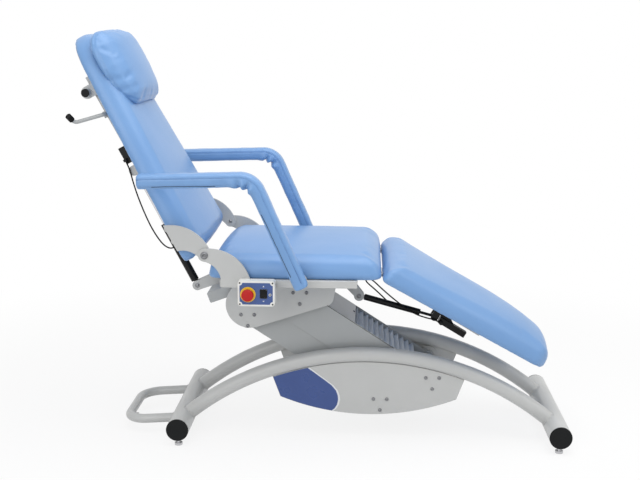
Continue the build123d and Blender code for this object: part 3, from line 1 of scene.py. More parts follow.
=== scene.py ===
import bpy
import json
from math import atan2, cos, exp, hypot, pi, radians, sin, sqrt
from mathutils import Matrix, Vector, noise


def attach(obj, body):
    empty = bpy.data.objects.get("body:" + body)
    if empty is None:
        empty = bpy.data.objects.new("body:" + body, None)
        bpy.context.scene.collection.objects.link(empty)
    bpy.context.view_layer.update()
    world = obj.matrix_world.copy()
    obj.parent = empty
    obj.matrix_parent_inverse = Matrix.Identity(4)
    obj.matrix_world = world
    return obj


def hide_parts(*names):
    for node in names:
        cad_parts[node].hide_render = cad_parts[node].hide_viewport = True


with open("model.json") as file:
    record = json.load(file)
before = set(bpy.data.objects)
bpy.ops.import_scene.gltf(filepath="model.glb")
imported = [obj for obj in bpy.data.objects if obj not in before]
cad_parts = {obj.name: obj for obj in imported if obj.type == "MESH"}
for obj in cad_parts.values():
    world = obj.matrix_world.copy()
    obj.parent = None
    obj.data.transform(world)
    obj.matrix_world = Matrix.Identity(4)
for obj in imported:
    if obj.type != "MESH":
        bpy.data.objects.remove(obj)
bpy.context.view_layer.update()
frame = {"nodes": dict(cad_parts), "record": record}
nodes = frame["nodes"]
print("frame loaded with", len(nodes), "nodes")

# Places that several pieces share, in metres
layout = {
    "baseX": 0.158,
    "hinge": Vector((-0.377, 0, 0.678)),
    "backSlope": 61.5,
    "backFront": 0.0765,
    "knee": Vector((0.196, 0, 0.606)),
    "legSlope": 31.0,
    "seatZ": 0.597,
}


# Directions down a slope to the foot end, and square out of it
def slopeFrame(slope):
    angle = radians(slope)
    return Vector((cos(angle), 0, -sin(angle))), Vector((sin(angle), 0, cos(angle)))


# Camera at the photograph's angle
cameraSettings = {
    "place": (0.1472, -3.6322, 1.3673),
    "pitch": 0.18945,
    "yaw": -0.04543,
    "roll": 0.0046,
    "sensor": 36.0,
    "lens": 59.03,
}


def addCamera(s):
    ahead = Vector((sin(s["yaw"]) * cos(s["pitch"]), cos(s["yaw"]) * cos(s["pitch"]), -sin(s["pitch"])))
    level = Vector((cos(s["yaw"]), -sin(s["yaw"]), 0))
    rise = level.cross(ahead)
    right = level * cos(s["roll"]) + rise * sin(s["roll"])
    up = rise * cos(s["roll"]) - level * sin(s["roll"])
    turned = Matrix((right, up, -ahead)).transposed().to_4x4()
    data = bpy.data.cameras.new("photoCamera")
    data.sensor_fit = "HORIZONTAL"
    data.sensor_width = s["sensor"]
    data.lens = s["lens"]
    camera = bpy.data.objects.new("photoCamera", data)
    camera.matrix_world = Matrix.Translation(s["place"]) @ turned
    bpy.context.scene.collection.objects.link(camera)
    bpy.context.scene.camera = camera


addCamera(cameraSettings)
print("camera placed")


# Colours are given as screen values from 0 to 255
def screenColour(red, green, blue):
    values = (red / 255, green / 255, blue / 255)
    return tuple(v / 12.92 if v <= 0.04045 else ((v + 0.055) / 1.055) ** 2.4 for v in values) + (1.0,)


def newGroup(name, inputs, outputs):
    group = bpy.data.node_groups.new(name, "ShaderNodeTree")
    for label, value in inputs:
        group.interface.new_socket(label, in_out="INPUT", socket_type="NodeSocketFloat").default_value = value
    for label, kind in outputs:
        group.interface.new_socket(label, in_out="OUTPUT", socket_type=kind)
    return group, group.nodes.new("NodeGroupInput"), group.nodes.new("NodeGroupOutput")


def addNode(tree, kind, **values):
    made = tree.nodes.new(kind)
    for key, value in values.items():
        setattr(made, key, value)
    return made


def setMath(tree, operation, first, second):
    made = addNode(tree, "ShaderNodeMath", operation=operation)
    for socket, value in zip(made.inputs, (first, second)):
        if isinstance(value, (int, float)):
            socket.default_value = value
        else:
            tree.links.new(value, socket)
    return made.outputs[0]


# Values that all finishes share
shading = {
    "fineDetail": 3.0, "broadDetail": 4.0, "breakupDetail": 5.0, "bevelSamples": 4,
    "edgeFrom": (0.995, 0.85), "dustFrom": 0.3, "roughFrom": (0.3, 0.7), "coatRough": 0.25,
    "bumpStrength": 0.6,
}


# Grain: fine pores over a soft cloudiness, as heights, and a broad mottle as a mask
def buildGrainGroup():
    group, given, out = newGroup(
        "surfaceGrain",
        (("Scale", 900.0), ("Pores", 0.5), ("Mottle Scale", 6.0), ("Stretch", 1.0)),
        (("Height", "NodeSocketFloat"), ("Mottle", "NodeSocketFloat")),
    )
    links = group.links
    place = addNode(group, "ShaderNodeTexCoord")
    stretch = addNode(group, "ShaderNodeCombineXYZ")
    links.new(given.outputs["Stretch"], stretch.inputs["X"])
    stretch.inputs["Y"].default_value = 1.0
    stretch.inputs["Z"].default_value = 1.0
    mapped = addNode(group, "ShaderNodeMapping")
    links.new(place.outputs["Object"], mapped.inputs["Vector"])
    links.new(stretch.outputs[0], mapped.inputs["Scale"])
    fine = addNode(group, "ShaderNodeTexNoise")
    fine.inputs["Detail"].default_value = shading["fineDetail"]
    cells = addNode(group, "ShaderNodeTexVoronoi", feature="F1")
    broad = addNode(group, "ShaderNodeTexNoise")
    broad.inputs["Detail"].default_value = shading["broadDetail"]
    for texture in (fine, cells, broad):
        links.new(mapped.outputs[0], texture.inputs["Vector"])
    for texture in (fine, cells):
        links.new(given.outputs["Scale"], texture.inputs["Scale"])
    links.new(given.outputs["Mottle Scale"], broad.inputs["Scale"])
    pores = setMath(group, "MULTIPLY", cells.outputs["Distance"], given.outputs["Pores"])
    height = setMath(group, "ADD", fine.outputs[0], pores)
    links.new(height, out.inputs["Height"])
    links.new(broad.outputs[0], out.inputs["Mottle"])
    return group


# Wear: a rounded normal, worn edges and settled dust, each broken up by noise
def buildWearGroup():
    group, given, out = newGroup(
        "surfaceWear",
        (("Radius", 0.001), ("Edge Amount", 0.3), ("Dust Amount", 0.1), ("Breakup Scale", 60.0)),
        (("Edge", "NodeSocketFloat"), ("Dust", "NodeSocketFloat"), ("Normal", "NodeSocketVector")),
    )
    links = group.links
    rounded = addNode(group, "ShaderNodeBevel", samples=shading["bevelSamples"])
    links.new(given.outputs["Radius"], rounded.inputs["Radius"])
    surface = addNode(group, "ShaderNodeNewGeometry")
    meet = addNode(group, "ShaderNodeVectorMath", operation="DOT_PRODUCT")
    links.new(rounded.outputs[0], meet.inputs[0])
    links.new(surface.outputs["Normal"], meet.inputs[1])
    place = addNode(group, "ShaderNodeTexCoord")
    breakup = addNode(group, "ShaderNodeTexNoise")
    breakup.inputs["Detail"].default_value = shading["breakupDetail"]
    links.new(place.outputs["Object"], breakup.inputs["Vector"])
    links.new(given.outputs["Breakup Scale"], breakup.inputs["Scale"])
    edge = addNode(group, "ShaderNodeMapRange")
    links.new(meet.outputs["Value"], edge.inputs["Value"])
    edge.inputs["From Min"].default_value = shading["edgeFrom"][0]
    edge.inputs["From Max"].default_value = shading["edgeFrom"][1]
    patchy = setMath(group, "MULTIPLY", edge.outputs[0], breakup.outputs[0])
    links.new(setMath(group, "MULTIPLY", patchy, given.outputs["Edge Amount"]), out.inputs["Edge"])
    facing = addNode(group, "ShaderNodeSeparateXYZ")
    links.new(surface.outputs["Normal"], facing.inputs[0])
    upward = addNode(group, "ShaderNodeMapRange")
    links.new(facing.outputs["Z"], upward.inputs["Value"])
    upward.inputs["From Min"].default_value = shading["dustFrom"]
    settled = setMath(group, "MULTIPLY", upward.outputs[0], breakup.outputs[0])
    links.new(setMath(group, "MULTIPLY", settled, given.outputs["Dust Amount"]), out.inputs["Dust"])
    links.new(rounded.outputs[0], out.inputs["Normal"])
    return group


grainGroup = buildGrainGroup()
wearGroup = buildWearGroup()
print("shared shader groups built")

finishes = {
    "blueVinyl": {
        "base": (112, 153, 202), "shade": (104, 146, 196), "edge": (124, 162, 208), "dust": (140, 172, 212),
        "rough": (0.38, 0.46), "grain": 1500.0, "pores": 0.6, "mottle": 5.0, "bump": 0.00012,
        "radius": 0.002, "wear": 0.1, "dusty": 0.05, "coat": 0.2,
    },
    "vinylShadow": {
        "base": (58, 90, 140), "shade": (48, 78, 126), "edge": (84, 118, 168), "dust": (84, 110, 150),
        "rough": (0.5, 0.6), "grain": 1500.0, "pores": 0.6, "mottle": 20.0, "bump": 0.0001,
        "radius": 0.0005, "wear": 0.2, "dusty": 0.05,
    },
    "vinylPiping": {
        "base": (106, 147, 198), "shade": (92, 134, 186), "edge": (134, 170, 214), "dust": (140, 172, 212),
        "rough": (0.34, 0.44), "grain": 1500.0, "pores": 0.6, "mottle": 20.0, "bump": 0.0001,
        "radius": 0.0006, "wear": 0.2, "dusty": 0.05, "coat": 0.15,
    },
    "greyPaint": {
        "base": (190, 191, 190), "shade": (183, 184, 183), "edge": (205, 205, 204), "dust": (198, 196, 190),
        "rough": (0.32, 0.42), "grain": 420.0, "pores": 0.2, "mottle": 9.0, "bump": 0.00010,
        "radius": 0.0012, "wear": 0.5, "dusty": 0.2, "coat": 0.15,
    },
    "armPaint": {
        "base": (168, 171, 172), "shade": (160, 163, 164), "edge": (190, 190, 190), "dust": (176, 176, 172),
        "rough": (0.34, 0.44), "grain": 420.0, "pores": 0.2, "mottle": 9.0, "bump": 0.00010,
        "radius": 0.0012, "wear": 0.5, "dusty": 0.2, "coat": 0.15,
    },
    "blackPaint": {
        "base": (15, 16, 17), "shade": (11, 12, 13), "edge": (52, 52, 54), "dust": (40, 40, 39),
        "rough": (0.36, 0.48), "grain": 500.0, "pores": 0.2, "mottle": 12.0, "bump": 0.00008,
        "radius": 0.0010, "wear": 0.6, "dusty": 0.12, "coat": 0.1, "specular": 0.2,
    },
    "brightSteel": {
        "base": (206, 206, 208), "shade": (180, 180, 184), "edge": (232, 232, 232), "dust": (150, 148, 142),
        "rough": (0.22, 0.36), "grain": 700.0, "pores": 0.1, "mottle": 60.0, "bump": 0.00005,
        "radius": 0.0006, "wear": 0.6, "dusty": 0.1, "metal": 1.0, "stretch": 0.1,
    },
    "screwSteel": {
        "base": (150, 151, 153), "shade": (120, 121, 124), "edge": (204, 204, 204), "dust": (110, 108, 104),
        "rough": (0.26, 0.4), "grain": 700.0, "pores": 0.1, "mottle": 90.0, "bump": 0.00004,
        "radius": 0.0004, "wear": 0.8, "dusty": 0.3, "metal": 1.0,
    },
    "chromeSteel": {
        "base": (226, 226, 228), "shade": (214, 214, 218), "edge": (240, 240, 240), "dust": (170, 168, 160),
        "rough": (0.06, 0.12), "grain": 300.0, "pores": 0.0, "mottle": 30.0, "bump": 0.00001,
        "radius": 0.0006, "wear": 0.4, "dusty": 0.04, "metal": 1.0,
    },
    "blackPlastic": {
        "base": (17, 19, 20), "shade": (13, 15, 16), "edge": (42, 44, 46), "dust": (44, 44, 43),
        "rough": (0.5, 0.62), "grain": 1100.0, "pores": 0.7, "mottle": 14.0, "bump": 0.00012,
        "radius": 0.0010, "wear": 0.4, "dusty": 0.1, "specular": 0.2,
    },
    "blackRubber": {
        "base": (14, 14, 15), "shade": (10, 10, 11), "edge": (34, 34, 34), "dust": (44, 43, 41),
        "rough": (0.55, 0.72), "grain": 900.0, "pores": 0.5, "mottle": 20.0, "bump": 0.00010,
        "radius": 0.0008, "wear": 0.3, "dusty": 0.12, "specular": 0.2,
    },
    "bellowsRubber": {
        "base": (232, 235, 239), "shade": (222, 225, 230), "edge": (240, 241, 243), "dust": (226, 224, 219),
        "rough": (0.52, 0.66), "grain": 800.0, "pores": 0.4, "mottle": 16.0, "bump": 0.00014,
        "radius": 0.0012, "wear": 0.5, "dusty": 0.2,
    },
    "whitePlastic": {
        "base": (232, 232, 228), "shade": (225, 225, 221), "edge": (240, 240, 238), "dust": (205, 202, 194),
        "rough": (0.36, 0.46), "grain": 900.0, "pores": 0.4, "mottle": 12.0, "bump": 0.00008,
        "radius": 0.0014, "wear": 0.3, "dusty": 0.12,
    },
    "blueLabel": {
        "base": (62, 88, 146), "shade": (54, 79, 136), "edge": (96, 120, 172), "dust": (90, 106, 140),
        "rough": (0.28, 0.36), "grain": 700.0, "pores": 0.2, "mottle": 20.0, "bump": 0.00003,
        "radius": 0.0003, "wear": 0.3, "dusty": 0.06, "coat": 0.2,
    },
    "navyFilm": {
        "base": (48, 76, 138), "shade": (43, 69, 129), "edge": (86, 108, 158), "dust": (80, 98, 140),
        "rough": (0.26, 0.34), "grain": 500.0, "pores": 0.2, "mottle": 14.0, "bump": 0.00003,
        "radius": 0.0003, "wear": 0.3, "dusty": 0.06, "coat": 0.2,
    },
    "whiteFilm": {
        "base": (226, 228, 230), "shade": (218, 220, 223), "edge": (236, 236, 236), "dust": (204, 203, 198),
        "rough": (0.28, 0.36), "grain": 500.0, "pores": 0.2, "mottle": 14.0, "bump": 0.00003,
        "radius": 0.0003, "wear": 0.2, "dusty": 0.06, "coat": 0.2,
    },
    "yellowPlastic": {
        "base": (240, 196, 48), "shade": (232, 186, 40), "edge": (246, 212, 96), "dust": (206, 184, 110),
        "rough": (0.34, 0.44), "grain": 700.0, "pores": 0.2, "mottle": 30.0, "bump": 0.00005,
        "radius": 0.0005, "wear": 0.3, "dusty": 0.06, "coat": 0.1,
    },
    "redPlastic": {
        "base": (184, 22, 20), "shade": (168, 18, 16), "edge": (218, 84, 70), "dust": (170, 84, 74),
        "rough": (0.36, 0.46), "grain": 700.0, "pores": 0.2, "mottle": 30.0, "bump": 0.00004,
        "radius": 0.0012, "wear": 0.2, "dusty": 0.02, "coat": 0.05, "specular": 0.3,
    },
    "plywood": {
        "base": (176, 142, 100), "shade": (146, 112, 74), "edge": (198, 168, 128), "dust": (170, 150, 120),
        "rough": (0.62, 0.78), "grain": 260.0, "pores": 0.3, "mottle": 34.0, "bump": 0.00020,
        "radius": 0.0008, "wear": 0.4, "dusty": 0.1, "stretch": 0.12,
    },
}


def buildFinish(name, s):
    material = bpy.data.materials.new(name)
    material.use_nodes = True
    tree = material.node_tree
    links = tree.links
    shader = tree.nodes["Principled BSDF"]
    shader.inputs["Metallic"].default_value = s.get("metal", 0.0)
    shader.inputs["Coat Weight"].default_value = s.get("coat", 0.0)
    shader.inputs["Coat Roughness"].default_value = shading["coatRough"]
    shader.inputs["Specular IOR Level"].default_value = s.get("specular", 0.5)
    grain = addNode(tree, "ShaderNodeGroup", node_tree=grainGroup)
    grain.inputs["Scale"].default_value = s["grain"]
    grain.inputs["Pores"].default_value = s["pores"]
    grain.inputs["Mottle Scale"].default_value = s["mottle"]
    grain.inputs["Stretch"].default_value = s.get("stretch", 1.0)
    wear = addNode(tree, "ShaderNodeGroup", node_tree=wearGroup)
    wear.inputs["Radius"].default_value = s["radius"]
    wear.inputs["Edge Amount"].default_value = s["wear"]
    wear.inputs["Dust Amount"].default_value = s["dusty"]
    colour = None
    layers = (
        (grain.outputs["Mottle"], "shade"), (wear.outputs["Edge"], "edge"), (wear.outputs["Dust"], "dust"),
    )
    for mask, key in layers:
        mix = addNode(tree, "ShaderNodeMix", data_type="RGBA")
        links.new(mask, mix.inputs[0])
        if colour is None:
            mix.inputs[6].default_value = screenColour(*s["base"])
        else:
            links.new(colour, mix.inputs[6])
        mix.inputs[7].default_value = screenColour(*s[key])
        colour = mix.outputs[2]
    links.new(colour, shader.inputs["Base Color"])
    rough = addNode(tree, "ShaderNodeMapRange")
    links.new(grain.outputs["Mottle"], rough.inputs["Value"])
    rough.inputs["From Min"].default_value = shading["roughFrom"][0]
    rough.inputs["From Max"].default_value = shading["roughFrom"][1]
    rough.inputs["To Min"].default_value = s["rough"][0]
    rough.inputs["To Max"].default_value = s["rough"][1]
    links.new(rough.outputs[0], shader.inputs["Roughness"])
    bump = addNode(tree, "ShaderNodeBump")
    bump.inputs["Strength"].default_value = shading["bumpStrength"]
    bump.inputs["Distance"].default_value = s["bump"]
    links.new(grain.outputs["Height"], bump.inputs["Height"])
    links.new(wear.outputs["Normal"], bump.inputs["Normal"])
    links.new(bump.outputs[0], shader.inputs["Normal"])
    return material


materials = {name: buildFinish(name, s) for name, s in finishes.items()}
slotFinish = {
    "light_grey_paint": "greyPaint", "black_paint": "blackPaint", "bright_steel": "brightSteel",
    "chrome": "chromeSteel", "blue_vinyl": "blueVinyl", "plywood": "plywood",
    "black_rubber": "blackRubber", "grey_bellows": "bellowsRubber", "black_plastic": "blackPlastic",
    "white_plastic": "whitePlastic", "blue_label": "blueLabel", "yellow_plastic": "yellowPlastic",
    "red_plastic": "redPlastic",
}
nodeFinish = {
    "upper_lift_arm": "armPaint", "lower_lift_arm": "armPaint", "power_box": "armPaint",
    "levelling_feet": "brightSteel", "release_lever": "armPaint", "leg_spring_rod": "blackPaint",
    "base_pivot_axles": "greyPaint", "carriage_pivot_axles": "greyPaint",
}
for part in frame["record"]["subparts"]:
    name = part["node"]
    finish = nodeFinish.get(name, slotFinish[part["material_slot"]])
    nodes[name].data.materials.clear()
    nodes[name].data.materials.append(materials[finish])
print("finishes set on", len(nodes), "nodes")


# Makes a mesh object that rides on a body and takes a slot's finish
def makePiece(name, points, faces, finish, body, slotName):
    mesh = bpy.data.meshes.new(name)
    mesh.from_pydata([tuple(p) for p in points], [], faces)
    mesh.validate()
    mesh.update()
    mesh.shade_smooth()
    mesh.materials.append(materials[finish])
    piece = bpy.data.objects.new(name, mesh)
    bpy.context.scene.collection.objects.link(piece)
    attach(piece, body)
    return piece


# Faces between rings of points, with both ends closed
def ringFaces(rings, size, closed=True):
    faces = []
    for ring in range(rings - 1):
        for step in range(size):
            after = (step + 1) % size
            low, high = ring * size, (ring + 1) * size
            faces.append((low + step, low + after, high + after, high + step))
    if closed:
        faces.append(tuple(reversed(range(size))))
        faces.append(tuple((rings - 1) * size + step for step in range(size)))
    return faces


def bakeModifiers(piece):
    view = bpy.context.evaluated_depsgraph_get()
    baked = bpy.data.meshes.new_from_object(piece.evaluated_get(view), depsgraph=view)
    piece.modifiers.clear()
    piece.data = baked
    baked.shade_smooth()


# Values that all the cloth runs share
clothRun = {"quality": 6, "smoothFactor": 0.5}


# Even cells all over, softened a little, ready for cloth
def remeshPiece(piece, voxel, smoothing):
    remesh = piece.modifiers.new("cells", "REMESH")
    remesh.mode = "VOXEL"
    remesh.voxel_size = voxel
    soften = piece.modifiers.new("soften", "SMOOTH")
    soften.factor = clothRun["smoothFactor"]
    soften.iterations = smoothing
    bakeModifiers(piece)


# Swells a piece with cloth under pressure, then lets it settle; isHeld picks the points that
# stay still, and the limits cap the move along the axes: down the pad, across it and out of it
def inflatePiece(piece, s, axes, isHeld):
    before = [v.co.copy() for v in piece.data.vertices]
    held = piece.vertex_groups.new(name="held")
    held.add([v.index for v in piece.data.vertices if isHeld(v.co)], 1.0, "REPLACE")
    cloth = piece.modifiers.new("swell", "CLOTH")
    cloth.settings.use_pressure = True
    cloth.settings.uniform_pressure_force = s["pressure"]
    cloth.settings.quality = clothRun["quality"]
    cloth.settings.tension_stiffness = s["stiffness"]
    cloth.settings.compression_stiffness = s["stiffness"]
    cloth.settings.bending_stiffness = s["bending"]
    cloth.settings.vertex_group_mass = "held"
    cloth.settings.effector_weights.gravity = 0
    cloth.point_cache.frame_start = 1
    cloth.point_cache.frame_end = s["frames"]
    for step in range(1, s["frames"] + 1):
        bpy.context.scene.frame_set(step)
    view = bpy.context.evaluated_depsgraph_get()
    after = [v.co.copy() for v in piece.evaluated_get(view).data.vertices]
    piece.modifiers.clear()
    piece.vertex_groups.clear()
    bpy.context.scene.frame_set(1)
    for vertex, old, new in zip(piece.data.vertices, before, after):
        move = new - old
        place = old.copy()
        for axis, limit in zip(axes, s["limits"]):
            place += axis * max(-limit, min(limit, move.dot(axis)))
        vertex.co = place
    piece.data.update()
    settle = piece.modifiers.new("settle", "SMOOTH")
    settle.factor = clothRun["smoothFactor"]
    settle.iterations = s["settle"]
    bakeModifiers(piece)


# Points of the circle through three points, from the first to the last
def arcThrough(a, b, c, count):
    d = 2 * (a[0] * (b[1] - c[1]) + b[0] * (c[1] - a[1]) + c[0] * (a[1] - b[1]))
    if abs(d) < 1e-9:
        return [tuple(p + (q - p) * i / count for p, q in zip(a, c)) for i in range(count)]
    squares = [p[0] ** 2 + p[1] ** 2 for p in (a, b, c)]
    x = (squares[0] * (b[1] - c[1]) + squares[1] * (c[1] - a[1]) + squares[2] * (a[1] - b[1])) / d
    y = (squares[0] * (c[0] - b[0]) + squares[1] * (a[0] - c[0]) + squares[2] * (b[0] - a[0])) / d
    radius = hypot(a[0] - x, a[1] - y)
    start, middle, end = (atan2(p[1] - y, p[0] - x) for p in (a, b, c))
    turn = (end - start) % (2 * pi)
    if (middle - start) % (2 * pi) > turn:
        turn -= 2 * pi
    angles = [start + turn * i / count for i in range(count)]
    return [(x + radius * cos(angle), y + radius * sin(angle)) for angle in angles]


# Pads: one section rolled along the pad, closing in at both ends
padShape = {
    "tuck": 0.006, "sole": 0.0015, "draw": 0.005, "roll": 0.036, "lip": 0.024, "endCrown": 0.008,
    "bulge": 0.35, "shoulder": 0.45, "lipRoll": 0.6, "shoulderPoint": (0.3, 0.2),
    "steps": (14, 9, 8, 24), "fallFrom": 0.6, "fallOver": 0.4, "hold": 0.012, "fill": 0.9,
}
endTurns = [step / 9 * pi / 2 for step in range(10)]  # a quarter turn closes the end of a pad


def padSection(half, side, crown):
    s = padShape
    roll = min(s["roll"], side * s["lipRoll"])
    shoulder = side + (crown - side) * s["shoulder"]
    along, up = s["shoulderPoint"]
    edge = half - s["draw"]
    low, brow, top = side - roll / 2, side + (shoulder - side) * up, shoulder
    foot = half - s["tuck"]
    sole = -s["sole"]
    soleSteps, sideSteps, rollSteps, crownSteps = s["steps"]
    points = [(-foot + 2 * foot * i / soleSteps, sole) for i in range(soleSteps)]
    points += arcThrough((foot, sole), (half, side * s["bulge"]), (edge, low), sideSteps)
    points += arcThrough((edge, low), (edge - roll * along, brow), (edge - roll, top), rollSteps)
    points += arcThrough((edge - roll, top), (0, crown), (roll - edge, top), crownSteps)
    points += arcThrough((roll - edge, top), (roll * along - edge, brow), (-edge, low), rollSteps)
    points += arcThrough((-edge, low), (-half, side * s["bulge"]), (-foot, sole), sideSteps)
    return points


def rounding(distance, radius):
    return 1.0 if distance >= radius else sqrt(max(0.0, 1 - (1 - distance / radius) ** 2))


def padPiece(name, s, body, replaced):
    run, out = slopeFrame(s["slope"])
    spread = [max(end) for end in s["ends"]]
    stations = [spread[0] * (1 - cos(turn)) for turn in endTurns]
    middle = [spread[0] + (s["length"] - spread[0] - spread[1]) * i / 9 for i in range(1, 9)]
    stations += middle + [s["length"] - spread[1] * (1 - cos(turn)) for turn in reversed(endTurns)]
    points = []
    for distance in stations:
        inHead = distance < s["length"] / 2
        roll, corner = s["ends"][0] if inHead else s["ends"][1]
        inside = distance if inHead else s["length"] - distance
        full = rounding(inside, roll)
        share = distance / s["length"]
        half = s["half"][0] + (s["half"][1] - s["half"][0]) * share
        half -= corner * (1 - rounding(inside, corner)) + s["shrink"]
        side = padShape["lip"] + (s["side"] - padShape["lip"]) * full
        crown = side + padShape["endCrown"] + (s["crown"] - s["side"] - padShape["endCrown"]) * full
        crown += s["swell"] * full * sin(pi * share ** s["swellPower"])
        crown -= s["fall"] * full * max(0.0, (share - padShape["fallFrom"]) / padShape["fallOver"]) ** 2
        origin = s["start"] + run * distance
        points += [origin + Vector((0, x, 0)) + out * z for x, z in padSection(half, side, crown)]
    size = len(points) // len(stations)
    piece = makePiece(name, points, ringFaces(len(stations), size), "blueVinyl", body, "blue_vinyl")
    remeshPiece(piece, s["voxel"], s["smoothing"])
    hold = padShape["hold"]
    inflatePiece(piece, s, (run, Vector((0, 1, 0)), out), lambda p: (p - s["start"]).dot(out) < hold)
    piece.modifiers.new("fine", "SUBSURF").render_levels = 1
    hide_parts(replaced)
    print(name, "made with", len(piece.data.vertices), "points")
    return piece


hinge, knee = layout["hinge"], layout["knee"]
backRun, backOut = slopeFrame(layout["backSlope"])
legRun, legOut = slopeFrame(layout["legSlope"])
padFirm = {
    "voxel": 0.007, "smoothing": 2, "shrink": 0.0, "pressure": 3.0, "stiffness": 12.0, "bending": 2.0,
    "frames": 16, "settle": 6, "swell": 0.0, "swellPower": 1.0, "fall": 0.0,
}
seatPad = {
    **padFirm, "start": Vector((layout["baseX"] - 0.529, 0, layout["seatZ"])), "slope": 0.0,
    "length": 0.5685, "half": (0.315, 0.315), "side": 0.062, "crown": 0.088,
    "ends": ((0.050, 0.030), (0.056, 0.034)), "limits": (0.003, 0.003, 0.003), "fall": 0.010,
}
backPad = {
    **padFirm, "start": hinge - backRun * 0.820 - backOut * layout["backFront"],
    "slope": layout["backSlope"], "length": 0.816, "half": (0.195, 0.315), "side": 0.062, "crown": 0.085,
    "ends": ((0.046, 0.110), (0.040, 0.030)), "limits": (0.002, 0.0012, 0.003),
}
legPad = {
    **padFirm, "start": knee + legRun * 0.0063 - legOut * 0.0093, "slope": layout["legSlope"],
    "length": 0.655, "half": (0.315, 0.172), "side": 0.057, "crown": 0.080,
    "ends": ((0.044, 0.024), (0.030, 0.052)), "limits": (0.003, 0.003, 0.003),
    "swell": 0.023, "swellPower": 1.7,
}
padPiece("seatCushion", seatPad, "carriage", "seat_cushion")
padPiece("backCushion", backPad, "backrest", "back_cushion")
padPiece("legCushion", legPad, "leg_rest", "leg_cushion")

# Head pillow: a puffed cushion that lies over the crown and the shoulders of the backrest's head
pillow = {
    "head": 0.803, "length": 0.272, "half": (0.196, 0.212, 0.172), "roll": 0.062, "draw": 0.050,
    "height": (0.049, 0.056, 0.036), "side": 0.034, "bulge": 0.011, "crown": 0.087, "fall": 0.0127,
    "shoulder": 0.160, "drop": 0.34, "voxel": 0.005, "smoothing": 4, "pressure": 5.0, "stiffness": 6.0,
    "bending": 1.2, "frames": 14, "settle": 8, "limits": (0.004, 0.004, 0.004),
    "bedWidth": 0.17, "bedEase": 0.03, "thin": (0.30, 0.70), "steps": (20, 6, 28), "crownPower": 0.8,
    "hold": 0.004, "fill": 0.8, "nearFrom": (0.55, 0.3), "nearLevel": 0.012,
    "pleat": 0.0018, "pleatCount": 6.0, "pleatRise": 12,
    "seam": 0.0022, "seamLevel": 0.60, "seamWave": 0.003, "seamWidth": 0.003,
    "foldMiddle": 0.02, "foldTop": 0.07,
    "folds": ((0.10, 0.55, 0.008, 0.0022), (0.16, 0.30, 0.007, 0.0018), (0.62, 0.8, 0.011, 0.0045),
              (0.78, 0.55, 0.010, 0.0050), (0.90, 0.35, 0.009, 0.0035)),
}


# Height of the backrest's surface under the pillow at a place across it
def pillowBed(s, across):
    over = max(0.0, abs(across) - s["shoulder"])
    fall = s["fall"] * (across / s["bedWidth"]) ** 2
    return s["crown"] - fall - s["drop"] * over * min(1.0, over / s["bedEase"])


# Value at a share of the way, from those at the start, the middle and the end
def threeWay(values, share):
    first, middle, last = values
    return first + (4 * middle - 3 * first - last) * share + 2 * (first + last - 2 * middle) * share ** 2


